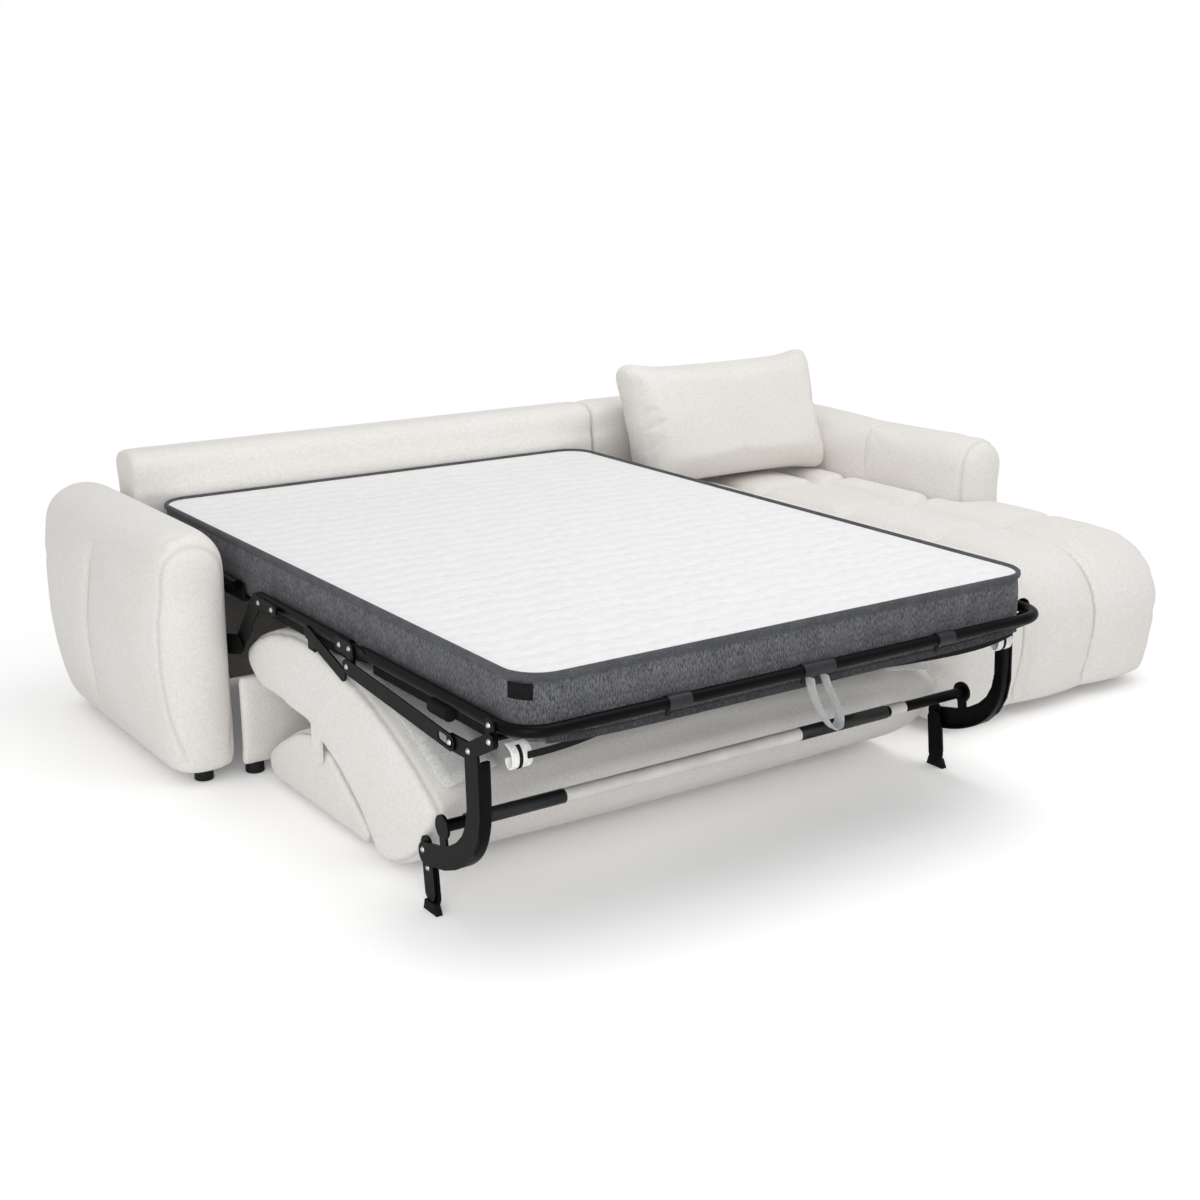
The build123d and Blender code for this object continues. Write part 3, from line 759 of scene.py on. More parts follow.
@dataclass
class SofaShell:
    """The still part of the sofa: arms, backs, chaise, rail and bay wall, with the loose pillow."""

    hem: float = 46.0
    above: float = 900.0
    chaise_left: float = 882.0
    chaise_right: float = 1745.0
    chaise_front: float = 1900.0
    chaise_columns: int = 3
    chaise_rows: tuple[float, ...] = (310.0, 700.0, 1080.0)
    chaise_hem: float = 44.0
    arm_notch: tuple[float, float] = (1560.0, 850.0)
    left_front_seam: Line = ((45, 640), (105, 634), (192, 620), (296, 611), (423, 612), (544, 626), (600, 636),
                             (700, 640))
    left_side_seam: Line = ((45, 130), (129, 137), (235, 145), (331, 156), (491, 193), (600, 290))
    right_front_seam: float = 788.0
    right_side_seam: float = 370.0
    ear_start: tuple[float, float] = (0.72, 0.66)
    ear_pull: tuple[float, float] = (150.0, 110.0)
    belly_reach: float = 18.0
    belly_height: float = 370.0
    belly_half_height: float = 340.0

    def arms(self, finishes: Finishes) -> None:
        """Builds both arms, each with a seam round its front face and one down its side.

        Args:
            finishes: The shared materials.
        """
        face = ((Way.UP, 60, self.above),)
        floor = ((Way.UP, -FAR, self.hem),)
        left_seams = (
            Seam(Way.FORWARD, Way.UP, self.left_front_seam, depth=3.5, width=9.0, limits=face),
            Seam(Way.FORWARD, Way.UP, self.left_side_seam, depth=7.0, width=16.0,
                 limits=((Way.ACROSS, -1100, -850), (Way.UP, 75, 560)), fade=110.0),
        )
        left_inner = ((Way.ACROSS, -770, FAR), (Way.UP, -FAR, 560))
        SoftForm("left_arm_cover", "sofa", ("left_arm",), voxel_mm=12.0, relax=12, pressure=11.0, cap_mm=26.0,
                 seams=left_seams, held=(floor, left_inner), swell=self.belly).build(finishes)
        right_seams = (
            straight(Way.FORWARD, self.right_front_seam, depth=3.5, width=9.0, limits=face),
            straight(Way.FORWARD, self.right_side_seam, depth=2.5, width=9.0,
                     limits=((Way.UP, 440, 640), (Way.ACROSS, 1400, 1700))),
        )
        right_inner = ((Way.ACROSS, -FAR, 1640), (Way.UP, -FAR, 430))
        SoftForm("right_arm_cover", "sofa", ("right_arm",), voxel_mm=12.0, relax=12, pressure=8.0, cap_mm=18.0,
                 seams=right_seams, held=(floor, right_inner)).build(finishes)

    def ears(self, table: np.ndarray) -> np.ndarray:
        """Draws out the four corners of the pillow.

        Args:
            table: Points as across, forward and up.

        Returns:
            The move of each point.
        """
        rest = table - (table.min(axis=0) + table.max(axis=0)) / 2
        lean = np.linalg.svd(rest[::7, 1:], full_matrices=False)[2][0]
        sides = (rest[:, 0], rest[:, 1:] @ lean)
        shares = [np.clip(np.abs(side) / np.abs(side).max() - start, 0, 1)
                  for side, start in zip(sides, self.ear_start)]
        wide, high = (np.sign(side) * shares[0] * shares[1] * pull for side, pull in zip(sides, self.ear_pull))
        return np.column_stack((wide, high[:, None] * lean))

    def belly(self, table: np.ndarray) -> np.ndarray:
        """Extra fullness of the left arm's outside, strongest at half height and fading to the front.

        Args:
            table: Points as across, forward and up.

        Returns:
            The move of each point.
        """
        outside = np.clip((-840 - table[:, 0]) / 90, 0, 1)
        height = np.clip(1 - ((table[:, 2] - self.belly_height) / self.belly_half_height) ** 2, 0, 1)
        rear = np.clip((620 - table[:, 1]) / 500, 0, 1)
        move = np.zeros_like(table)
        move[:, Way.ACROSS.value] = -self.belly_reach * outside * height * rear
        return move

    def backs(self, finishes: Finishes) -> None:
        """Builds the two back panels, firm and straight with a soft top edge.

        Args:
            finishes: The shared materials.
        """
        held = (((Way.UP, -FAR, self.hem),), ((Way.FORWARD, -35, FAR), (Way.UP, -FAR, 620)))
        for node in ("bed_back", "chaise_back"):
            SoftForm(f"{node}_cover", "sofa", (node,), voxel_mm=15.0, relax=4, pressure=3.0, cap_mm=6.0,
                     held=held, fill=0.9).build(finishes)

    def chaise(self, finishes: Finishes) -> None:
        """Builds the chaise: seams in columns and rows, tufted where they cross, with painted shade in the
        seams.

        Args:
            finishes: The shared materials.
        """
        pitch = (self.chaise_right - self.chaise_left) / self.chaise_columns
        sewn = {"depth": 21.0, "width": 20.0}
        down = ((Way.UP, 40, self.above), (Way.FORWARD, -30, self.chaise_front))
        seams = [straight(Way.ACROSS, self.chaise_left + pitch * n, limits=down, **sewn)
                 for n in range(1, self.chaise_columns)]
        seams += [straight(Way.FORWARD, row, limits=((Way.UP, 400, self.above),), **sewn)
                  for row in self.chaise_rows]
        notch_x, notch_f = self.arm_notch
        hidden = (
            ((Way.UP, -FAR, self.chaise_hem),),
            ((Way.FORWARD, -FAR, 0),),
            ((Way.ACROSS, notch_x, FAR), (Way.FORWARD, -FAR, notch_f), (Way.UP, -FAR, 425)),
        )
        SoftForm("chaise_cover", "sofa", ("chaise_seat",), voxel_mm=13.5, relax=7, pressure=12.0, cap_mm=26.0,
                 seams=tuple(seams), held=hidden, fill=0.85).build(finishes)

    def walls(self, finishes: Finishes) -> None:
        """Builds the padded rail and the bay wall beside the chaise.

        Args:
            finishes: The shared materials.
        """
        floor = ((Way.UP, -FAR, self.hem),)
        SoftForm("front_rail_cover", "sofa", ("front_rail",), voxel_mm=7.0, relax=4, pressure=3.0, cap_mm=3.0,
                 held=(floor,), fill=0.9).build(finishes)
        bay_face = ((Way.ACROSS, -FAR, 778),)
        SoftForm("bay_wall_cover", "sofa", ("side_panel",), voxel_mm=13.0, relax=5, pressure=3.0, cap_mm=4.0,
                 held=(floor, bay_face), fill=0.9).build(finishes)

    def pillow(self, finishes: Finishes) -> None:
        """Builds the loose pillow on the chaise.

        Args:
            finishes: The shared materials.
        """
        SoftForm("loose_pillow", "pillow", ("pillow",), voxel_mm=9.0, relax=3, pressure=8.0, cap_mm=18.0,
                 fill=0.7, swell=self.ears).build(finishes)

    def build(self, finishes: Finishes) -> None:
        """Builds every upholstered piece of the shell.

        Args:
            finishes: The shared materials.
        """
        for step in (self.arms, self.backs, self.chaise, self.walls, self.pillow):
            step(finishes)


def close_cut(bm: bmesh.types.BMesh) -> list[bmesh.types.BMFace]:
    """Closes the open rim of a cut with a face that has sharp edges.

    Args:
        bm: The bmesh to close.

    Returns:
        The new faces.
    """
    rim = [edge for edge in bm.edges if edge.is_boundary]
    faces = bmesh.ops.contextual_create(bm, geom=rim)["faces"]
    for face in faces:
        for edge in face.edges:
            edge.smooth = False
    return faces


def bow(first: tuple[float, float], middle: tuple[float, float], last: tuple[float, float],
        count: int) -> list[tuple[float, float]]:
    """Points of a smooth bow through three places, without its last point.

    Args:
        first: Where it starts.
        middle: Where it is halfway.
        last: Where it ends.
        count: How many points.

    Returns:
        The points.
    """
    pull = [2 * m - (a + b) / 2 for a, m, b in zip(first, middle, last)]
    points = []
    for step in range(count):
        t = step / count
        ends = zip(first, pull, last)
        points.append(tuple((1 - t) ** 2 * a + 2 * t * (1 - t) * c + t * t * b for a, c, b in ends))
    return points


@dataclass
class FoldedSeat:
    """The seat with the cover that rolls down in front of it, and the back cushion folded below."""

    half: float = 731.0
    parting: float = 978.15
    cushion_half: float = 712.0
    cushion_crown: float = 200.0
    cushion_keep: float = 0.64
    squash_at: float = 1182.0
    squash_keep: float = 0.025
    end_seam: float = 13.0
    cushion_end_seam: float = 14.0
    end_held: float = 4.0
    lining_x: tuple[float, float] = (560.0, 698.0)
    lining_thick: float = 3.0
    lining_outer: Line = ((1090, 437), (1250, 408), (1420, 350), (1575, 262))
    lining_inner: Line = ((1560, 282), (1420, 362), (1300, 402))

    def outline(self) -> list[tuple[float, float]]:
        """Side outline of the seat and the roll together.

        Returns:
            Places as forward and up.
        """
        points = bow((704, 244), (619, 318), (730, 396), 6)
        points += bow((730, 396), (840, 428), (978, 440), 4)
        points += bow((978, 440), (1310, 372), (1592, 222), 10)
        points += bow((1592, 222), (1504, 98), (1362, 18), 6)
        points += [(1362, 18), (1302, 18)]
        points += bow((1296, 20), (1172, 136), (978, 222), 8)
        points += [(978, 228), (840, 240)]
        return points

    def leaf(self) -> list[tuple[float, float]]:
        """Side outline of the back cushion as it lies on the floor.

        Returns:
            Places as forward and up.
        """
        points = bow((712, 12), (686, 60), (740, 112), 6)
        points += bow((740, 112), (862, 178), (960, 196), 6)
        points += [(960, 196), (1040, 182), (1160, 104), (1225, 58), (1236, 36), (1226, 12)]
        return points

    @staticmethod
    def block(name: str, outline: list[tuple[float, float]], half: float) -> bpy.types.Object:
        """Closed start shape with the same outline all across the bed.

        Args:
            name: The shape's name.
            outline: Forward and up places round its side.
            half: Half its width.

        Returns:
            The start object.
        """
        bm = bmesh.new()
        face = bm.faces.new([bm.verts.new(at(-half, f, z)) for f, z in outline])
        made = bmesh.ops.extrude_face_region(bm, geom=[face])
        bmesh.ops.translate(bm, verts=new_verts(made), vec=(2 * half / 1000, 0, 0))
        bmesh.ops.recalc_face_normals(bm, faces=bm.faces)
        return from_bmesh(name, bm)

    def split(self, band: bpy.types.Object, name: str, front: bool) -> bpy.types.Object:
        """Cuts one side of the finished band off at the parting.

        Args:
            band: The seat and roll together.
            name: Name of the new piece.
            front: Whether to keep the roll in front rather than the seat.

        Returns:
            The new piece.
        """
        bm = bmesh.new()
        bm.from_mesh(band.data)
        place = at(0, self.parting, 0)
        bmesh.ops.bisect_plane(bm, geom=bm.verts[:] + bm.edges[:] + bm.faces[:], plane_co=place,
                               plane_no=(0, 1, 0), clear_outer=front, clear_inner=not front)
        close_cut(bm)
        return from_bmesh(name, bm)

    def linings(self, finishes: Finishes) -> None:
        """Lays the white lining over the roll's upper side at both ends.

        Args:
            finishes: The shared materials.
        """
        for side, name in SIDES:
            bm = bmesh.new()
            near, far = (side * x for x in self.lining_x)
            wedge = [at(far, f, z) for f, z in self.lining_outer]
            wedge += [at(near, f, z) for f, z in self.lining_inner]
            face = bm.faces.new([bm.verts.new(place) for place in wedge])
            bmesh.ops.triangulate(bm, faces=[face])
            bmesh.ops.subdivide_edges(bm, edges=bm.edges[:], cuts=4, use_grid_fill=True)
            bmesh.ops.smooth_vert(bm, verts=bm.verts, factor=0.5, use_axis_x=False, use_axis_y=False,
                                  use_axis_z=True)
            bmesh.ops.recalc_face_normals(bm, faces=bm.faces)
            bmesh.ops.solidify(bm, geom=bm.faces[:], thickness=self.lining_thick / 1000)
            piece = from_bmesh(f"roll_lining_{name}", bm)
            dress(piece, finishes.lining, "middle_section")
            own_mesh(piece)

    def ends(self, half: float, inset: float) -> tuple[tuple[Seam, ...], tuple[Box, ...]]:
        """Seams near both ends of a long cushion, and the end faces that stay flat.

        Args:
            half: Half the cushion's width.
            inset: Distance of each seam from its end.

        Returns:
            The seams and the held boxes.
        """
        seams = tuple(straight(Way.ACROSS, side * (half - inset), depth=5.0, width=7.0) for side, _ in SIDES)
        face = half - self.end_held
        return seams, (((Way.ACROSS, face, FAR),), ((Way.ACROSS, -FAR, -face),))

    def build(self, finishes: Finishes) -> None:
        """Builds the seat, the roll with its linings and the back cushion.

        Args:
            finishes: The shared materials.
        """
        seams, flat = self.ends(self.half, self.end_seam)
        still = (((Way.UP, -FAR, 45),), ((Way.FORWARD, self.parting - 20, self.parting + 20),))
        band = SoftForm("seat_band", "middle_section", (), voxel_mm=12.0, relax=6, pressure=5.0, cap_mm=13.0,
                        seams=seams, held=still + flat,
                        start=self.block("seat_band", self.outline(), self.half)).make()
        seat = self.split(band, "seat_cover", False)
        roll = self.split(band, "seat_roll_cover", True)
        bpy.data.objects.remove(band)
        for piece, node in ((seat, "seat_cushion"), (roll, "seat_roll")):
            dress(piece, finishes.chenille, "middle_section")
            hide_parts(node)
        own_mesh(roll)
        self.linings(finishes)
        seams, flat = self.ends(self.cushion_half, self.cushion_end_seam)
        floor = ((Way.UP, -FAR, 40),)
        leaf = self.block("back_cushion_cover", self.leaf(), self.cushion_half)
        cushion = SoftForm("back_cushion_cover", "backrest", ("back_cushion",), voxel_mm=12.0, relax=6,
                           pressure=4.0, cap_mm=8.0, seams=seams, held=(floor,) + flat, fill=0.75,
                           start=leaf).build(finishes)
        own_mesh(cushion)


@dataclass
class Mattress:
    """The bed's mattress: quilted knit top, piping and a melange border, in three folding sections."""

    half_x: float = 700.0
    rear: float = -15.0
    front: float = 1885.0
    low: float = 445.0
    height: float = 140.0
    corner: float = 85.0
    edge: float = 16.0
    cell: float = 10.0
    wave_pitch: float = 62.0
    wave_swing: float = 9.0
    wave_length: float = 210.0
    puff: float = 4.0
    head_keep: float = 0.55
    middle_keep: float = 0.70
    foot_keep: float = 0.56
    middle_anchor: float = 1100.0
    cuts: tuple[float, float] = (600.2, 1234.8)
    piping_foot: float = -16.0
    stitch_line: float = -70.0
    tag_turn: float = 34.0
    tag_spread: float = 36.0
    tag_up: float = 551.0
    tag_height: float = 33.0
    tag_thick: float = 1.2
    # Out and drop of the side's outline from the rim, then its finish: 0 knit, 1 border, 2 piping
    profile: tuple[tuple[float, float, int], ...] = (
        (3, -4, 0), (6, -3, 0), (7, 0, 2), (9, 3, 2), (13, 4, 2), (17, 1, 2), (18, -4, 2), (17, -9, 2),
        (14, -13, 2), (11, -15, 2), (10, -16, 1), (12, -21, 1), (14, -36, 1), (15, -52, 1), (15, -66, 1),
        (14, -70, 1), (15, -74, 1), (15, -92, 1), (14, -110, 1), (11, -126, 1), (7, -134, 1), (2, -139, 1),
        (-14, -139, 1))

    def inner(self, x: float, y: float) -> Vector:
        """Nearest centre of curvature of the rounded outline.

        Args:
            x: Metres across from the mattress's middle.
            y: Metres along from its middle.

        Returns:
            The centre.
        """
        reach_x = (self.half_x - self.corner) / 1000
        reach_y = ((self.front - self.rear) / 2 - self.corner) / 1000
        return Vector((max(-reach_x, min(reach_x, x)), max(-reach_y, min(reach_y, y)), 0))

    def top(self, bm: bmesh.types.BMesh) -> None:
        """Lays out the top as an even grid with round corners and quilted waves, with painted shade in the
        waves' valleys.

        Args:
            bm: The empty bmesh that takes it.
        """
        half_x = (self.half_x - self.edge) / 1000
        half_y = ((self.front - self.rear) / 2 - self.edge) / 1000
        across = round(2 * half_x * 1000 / self.cell)
        along = round(2 * half_y * 1000 / self.cell)
        bmesh.ops.create_grid(bm, x_segments=across, y_segments=along, size=1.0,
                              matrix=Matrix.Diagonal((half_x, half_y, 1, 1)))
        radius = (self.corner - self.edge) / 1000
        sewn = bm.verts.layers.float.new("sewn")
        for vert in bm.verts:
            centre = self.inner(vert.co.x, vert.co.y)
            way = Vector((vert.co.x, vert.co.y, 0)) - centre
            if abs(way.x) > 1e-9 and abs(way.y) > 1e-9:
                reach = max(abs(way.x), abs(way.y))
                vert.co = centre + way.normalized() * reach
            rim = min(1.0, (radius - min(radius, way.length)) / 0.03) if way.length > 0 else 1.0
            bend = self.wave_swing * math.sin(2 * math.pi * vert.co.x * 1000 / self.wave_length)
            phase = (vert.co.y * 1000 + bend) / self.wave_pitch
            lift = abs(math.sin(math.pi * phase)) ** 0.7
            # Painted shade in the quilting's valleys, fading out near the rim.
            vert[sewn] = 0.3 * max(0.0, 1 - lift * 3.2) * rim
            vert.co.z = (self.low + self.height - 4 + self.puff * (lift - 0.75) * rim) / 1000

    def skirt(self, bm: bmesh.types.BMesh) -> None:
        """Runs the piping and the border down from the rim of the top, then closes the underside.

        Args:
            bm: The bmesh with the top.
        """
        radius = (self.corner - self.edge) / 1000
        rim = [e for e in bm.edges if e.is_boundary]
        sewn = bm.verts.layers.float["sewn"]
        for out, drop, finish in self.profile:
            made = bmesh.ops.extrude_edge_only(bm, edges=rim)
            for vert in new_verts(made):
                centre = self.inner(vert.co.x, vert.co.y)
                way = (Vector((vert.co.x, vert.co.y, 0)) - centre).normalized()
                vert.co = centre + way * (radius + out / 1000)
                vert.co.z = (self.low + self.height + drop) / 1000
                # Painted shade in the crease under the piping, and a lighter darkening along the stitch line.
                vert[sewn] = {self.piping_foot: 0.5, self.stitch_line: 0.25}.get(drop, 0.0)
            for face in (f for f in made["geom"] if isinstance(f, bmesh.types.BMFace)):
                face.material_index = finish
            rim = [e for e in made["geom"] if isinstance(e, bmesh.types.BMEdge) and e.is_boundary]
        for face in bmesh.ops.contextual_create(bm, geom=rim)["faces"]:
            face.material_index = 1
        bmesh.ops.recalc_face_normals(bm, faces=bm.faces)

    def section(self, whole: bmesh.types.BMesh, name: str, low: float | None,
                high: float | None) -> bpy.types.Object:
        """Cuts one folding section out of the whole mattress.

        Args:
            whole: The whole mattress.
            name: Name of the section.
            low: Forward place of its rear cut, if it has one.
            high: Forward place of its front cut, if it has one.

        Returns:
            The section.
        """
        bm = whole.copy()
        for place, front in ((low, False), (high, True)):
            if place is None:
                continue
            bmesh.ops.bisect_plane(bm, geom=bm.verts[:] + bm.edges[:] + bm.faces[:],
                                   plane_co=at(0, place, 0), plane_no=(0, -1 if front else 1, 0),
                                   clear_outer=True)
            for face in close_cut(bm):
                face.material_index = 1
        return from_bmesh(name, bm)

    def tag(self, finishes: Finishes) -> None:
        """Sews the plain black tag to the border at the near front corner.

        Args:
            finishes: The shared materials.
        """
        bm = bmesh.new()
        bmesh.ops.create_grid(bm, x_segments=8, y_segments=2, size=0.5)
        radius = self.corner + 0.8
        for vert in bm.verts:
            turn = math.radians(self.tag_turn + vert.co.x * self.tag_spread)
            across = -self.half_x + self.corner - math.cos(turn) * radius
            forward = self.front - self.corner + math.sin(turn) * radius
            vert.co = at(across, forward, self.tag_up + vert.co.y * self.tag_height)
        bmesh.ops.recalc_face_normals(bm, faces=bm.faces)
        bmesh.ops.solidify(bm, geom=bm.faces[:], thickness=self.tag_thick / 1000)
        tag = dress(from_bmesh("mattress_tag", bm), finishes.tag, "foot_section")
        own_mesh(tag)

    def build(self, finishes: Finishes) -> None:
        """Builds the mattress, cuts it into its sections and dresses them.

        Args:
            finishes: The shared materials.
        """
        whole = bmesh.new()
        self.top(whole)
        self.skirt(whole)
        bmesh.ops.translate(whole, verts=whole.verts, vec=at(0, (self.front + self.rear) / 2, 0))
        first, second = self.cuts
        base, middle = at(0, 0, self.low), at(0, self.middle_anchor, 0)
        parts = (
            ("mattress_head", "head_section", None, first, (0, 0, 1), base, self.head_keep),
            ("mattress_middle", "middle_section", first, second, (0, 1, 0), middle, self.middle_keep),
            ("mattress_foot", "foot_section", second, None, (0, 0, 1), base, self.foot_keep),
        )
        for node, body, low, high, axis, anchor, share in parts:
            piece = self.section(whole, f"{node}_cover", low, high)
            for material in (finishes.knit, finishes.border, finishes.piping):
                piece.data.materials.append(material)
            dress(piece, finishes.knit, body)
            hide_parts(node)
            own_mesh(piece)
        whole.free()
        self.tag(finishes)


@dataclass(frozen=True)
class FlatBar:
    """A flat bar with round ends that lies in an upright plane on both sides of the bed."""

    name: str
    start: tuple[float, float]
    end: tuple[float, float]
    width: float
    near: float
    thick: float
    bevel: float = 0.8

    def build(self, side: int, side_name: str) -> bpy.types.Object:
        """Makes the bar of one side.

        Args:
            side: -1 for the left, 1 for the right.
            side_name: The side's name.

        Returns:
            The bar.
        """
        bm = bmesh.new()
        length = math.dist(self.start, self.end)
        bmesh.ops.create_circle(bm, cap_ends=True, segments=28, radius=self.width / 2000)
        for vert in bm.verts:
            vert.co.x += math.copysign(length / 2000, vert.co.x)
        made = bmesh.ops.extrude_face_region(bm, geom=bm.faces[:])
        bmesh.ops.translate(bm, verts=new_verts(made), vec=(0, 0, self.thick / 1000))
        bmesh.ops.recalc_face_normals(bm, faces=bm.faces)
        rims = [edge for edge in bm.edges if edge.calc_face_angle(0) > 0.8]
        bmesh.ops.bevel(bm, geom=rims, offset=self.bevel / 1000, segments=2, profile=0.5, affect="EDGES",
                        material=-1)
        slope = math.atan2(self.end[1] - self.start[1], self.end[0] - self.start[0])
        stand = Matrix(((0, 0, side, 0), (-1, 0, 0, 0), (0, 1, 0, 0), (0, 0, 0, 1)))
        middle = at(side * self.near, (self.start[0] + self.end[0]) / 2, (self.start[1] + self.end[1]) / 2)
        turn = Matrix.Translation(middle) @ stand @ Matrix.Rotation(slope, 4, "Z")
        bmesh.ops.transform(bm, matrix=turn, verts=bm.verts)
        bmesh.ops.recalc_face_normals(bm, faces=bm.faces)
        return from_bmesh(f"{self.name}_{side_name}", bm, False)


@dataclass
class BedFrame:
    """The folding steel frame: finishes of its solids, with the small pieces fixed to it."""

    rivet_radius: float = 6.5
    rivet_height: float = 3.0
    rivet_taper: float = 0.62
    leg_face: float = 746.5
    plate_face: float = 740.0
    tie_face: float = 750.5
    bracket_face: float = 749.2
    foot_bar_step: float = 6.0
    tube_x: float = 722.0
    front_tube: float = 1907.0
    tube_z: float = 485.0
    flange_depth: float = 24.0
    flange_inset: float = 6.2
    flange_thick: float = 3.5
    leg_edge: Line = ((1788, 400), (1793, 290), (1784, 236), (1762, 193), (1729, 161), (1689, 138), (1645, 122),
                      (1600, 113))
    link: FlatBar = FlatBar("side_link", (1022, 472), (1196, 418), 32, 735.4, 4.5)
    sleeve: FlatBar = FlatBar("hanger_sleeve", (1012, 166), (1012, 236), 40, 716.6, 11)
    foot_plate: FlatBar = FlatBar("foot_plate", (1566, 124), (1576, 36), 46, 727.8, 6.4)
    bumper_at: tuple[float, float] = (1612.0, 454.0)
    pull_line: Line = ((-15, 472), (-12, 450), (6, 410), (32, 366), (56, 341), (74, 346), (77, 372), (62, 402),
                       (42, 434), (30, 458), (26, 472))
    webbing_roll: Line = ((1850, 456), (1866, 453), (1878, 443), (1882, 428), (1878, 412), (1866, 405),
                          (1855, 411), (1851, 426))
    webbing_middle: tuple[float, float] = (1865.0, 430.0)
    webbing_x: tuple[float, float] = (-700.0, 620.0)
    felt_forward: float = 1882.0
    felt_edges: tuple[Line, Line] = (
        ((-690, 434), (-650, 434), (-590, 437), (-530, 446)),
        ((230, 444), (360, 436), (500, 431), (590, 437), (640, 449)),
    )
    tuck_half: int = 650
    tuck_at: tuple[float, float] = (1884.0, 445.0)
    tuck_rise: float = 12.0
    stretcher: tuple[float, float] = (1640.0, 215.0)
    grips: tuple[tuple[float, float], ...] = ((-690.0, -452.0), (207.0, 480.0))
    grip_radius: float = 16.0
    pegs: tuple[float, ...] = (-379.0, -27.0, 364.0)
    peg_drop: float = 20.0
    peg_length: float = 10.0

    def rivets(self, finishes: Finishes) -> None:
        """Sets the plated rivets on the plates, legs, brackets and tie bars.

        Args:
            finishes: The shared materials.
        """
        leg, plate, tie, bracket = self.leg_face, self.plate_face, self.tie_face, self.bracket_face
        spots = {
            "foot_section": [(plate, 1822, 486)],
            "legs": [(leg, 1833, 457), (leg, 1754, 414), (leg, 1557, 136), (leg - self.foot_bar_step, 1566, 96),
                     (tie, 1688, 413)],
            "middle_section": [(plate, 1235, 487), (tie, 1242, 450), (bracket, 775, 485), (bracket, 850, 485),
                               (plate, 1188, 485)],
        }
        for body, rows in spots.items():
            bm = bmesh.new()
            for face, f, z in rows:
                for side, _ in SIDES:
                    place = at(side * (face + self.rivet_height / 2), f, z)
                    turn = Matrix.Rotation(math.radians(90 * side), 4, "Y")
                    add_rod(bm, self.rivet_radius, self.rivet_height, Matrix.Translation(place) @ turn,
                            self.rivet_radius * self.rivet_taper, 18)
            piece = from_bmesh(f"rivets_{body}", bm, False)
            dress(piece, finishes.rivet, body)

    def bars(self, bar: FlatBar, finish: bpy.types.Material, body: str) -> None:
        """Sets one flat bar on both sides.

        Args:
            bar: The bar.
            finish: Its material.
            body: The body it rides on.
        """
        for side, name in SIDES:
            dress(bar.build(side, name), finish, body)

    def flanges(self, finishes: Finishes) -> None:
        """Turns the front edge of each leg inwards, so that it is a channel and not a plain plate.

        Args:
            finishes: The shared materials.
        """
        middle = self.leg_face - self.flange_depth / 2 - self.flange_inset
        for side, name in SIDES:
            line = [(side * middle, f, z) for f, z in self.leg_edge]
            flange = self.strap(f"leg_flange_{name}", line, self.flange_depth, self.flange_thick)
            dress(flange, finishes.steel, "legs")

    def bumpers(self, finishes: Finishes) -> None:
        """Adds the rubber bumpers under the foot section's side tubes.

        Args:
            finishes: The shared materials.
        """
        turn = Matrix.Rotation(math.radians(90), 4, "X")
        for side, name in SIDES:
            bm = bmesh.new()
            add_rod(bm, 17.0, 75.0, Matrix.Translation(at(side * self.tube_x, *self.bumper_at)) @ turn)
            ends = [edge for edge in bm.edges if edge.calc_face_angle(0) > 1.0]
            bmesh.ops.bevel(bm, geom=ends, offset=0.005, segments=3, profile=0.5, affect="EDGES", material=-1)
            dress(from_bmesh(f"tube_bumper_{name}", bm), finishes.rubber, "foot_section")

    @staticmethod
    def strap(name: str, points: Sequence[tuple[float, float, float]], width: float, thick: float,
              wide: Way = Way.ACROSS) -> bpy.types.Object:
        """A flat strip that follows a line of places.

        Args:
            name: The strip's name.
            points: Line of across, forward and up places.
            width: Width of the strip.
            thick: Thickness.
            wide: The way its width runs.

        Returns:
            The strip.
        """
        bm = bmesh.new()
        ends = np.tile(points[0], (2, 1)).astype(float)
        ends[:, wide.value] += (-width / 2, width / 2)
        rim = [bm.edges.new([bm.verts.new(at(*end)) for end in ends])]
        before = points[0]
        for point in points[1:]:
            made = bmesh.ops.extrude_edge_only(bm, edges=rim)
            fresh = new_verts(made)
            bmesh.ops.translate(bm, verts=fresh, vec=at(*point) - at(*before))
            edges = [item for item in made["geom"] if isinstance(item, bmesh.types.BMEdge)]
            rim = [edge for edge in edges if all(vert in fresh for vert in edge.verts)]
            before = point
        bmesh.ops.recalc_face_normals(bm, faces=bm.faces)
        bmesh.ops.solidify(bm, geom=bm.faces[:], thickness=thick / 1000)
        crease = bm.edges.layers.float.new("crease_edge")
        for edge in bm.edges:
            edge[crease] = 0.85 if edge.calc_face_angle(0) > 1.0 else 0.0
        piece = from_bmesh(name, bm)
        refine = piece.modifiers.new("refine", "SUBSURF")
        refine.levels = refine.render_levels = 2
        work_in(piece)
        return piece

    def straps(self, finishes: Finishes) -> None:
        """Hangs the clear pull strap on the front tube and the webbing ends near its corners.

        Args:
            finishes: The shared materials.
        """
        loop = [(x, self.front_tube + 8, z) for x, z in self.pull_line]
        pull = self.strap("pull_strap", loop, 30, 1.5, Way.FORWARD)
        dress(pull, finishes.vinyl, "foot_section")
        mid_f, mid_z = self.webbing_middle
        wider = [(f + 0.05 * (f - mid_f), z + 0.05 * (z - mid_z)) for f, z in self.webbing_roll[1:]]
        for x, (_, name) in zip(self.webbing_x, SIDES):
            tail = self.strap(f"webbing_{name}", [(x, f, z) for f, z in self.webbing_roll], 46, 3.0)
            dress(tail, finishes.lining, "foot_section")
            outside = [(x - 3, f, z) for f, z in wider]
            band = self.strap(f"webbing_band_{name}", outside, 8, 3.5)
            dress(band, finishes.rubber, "foot_section")

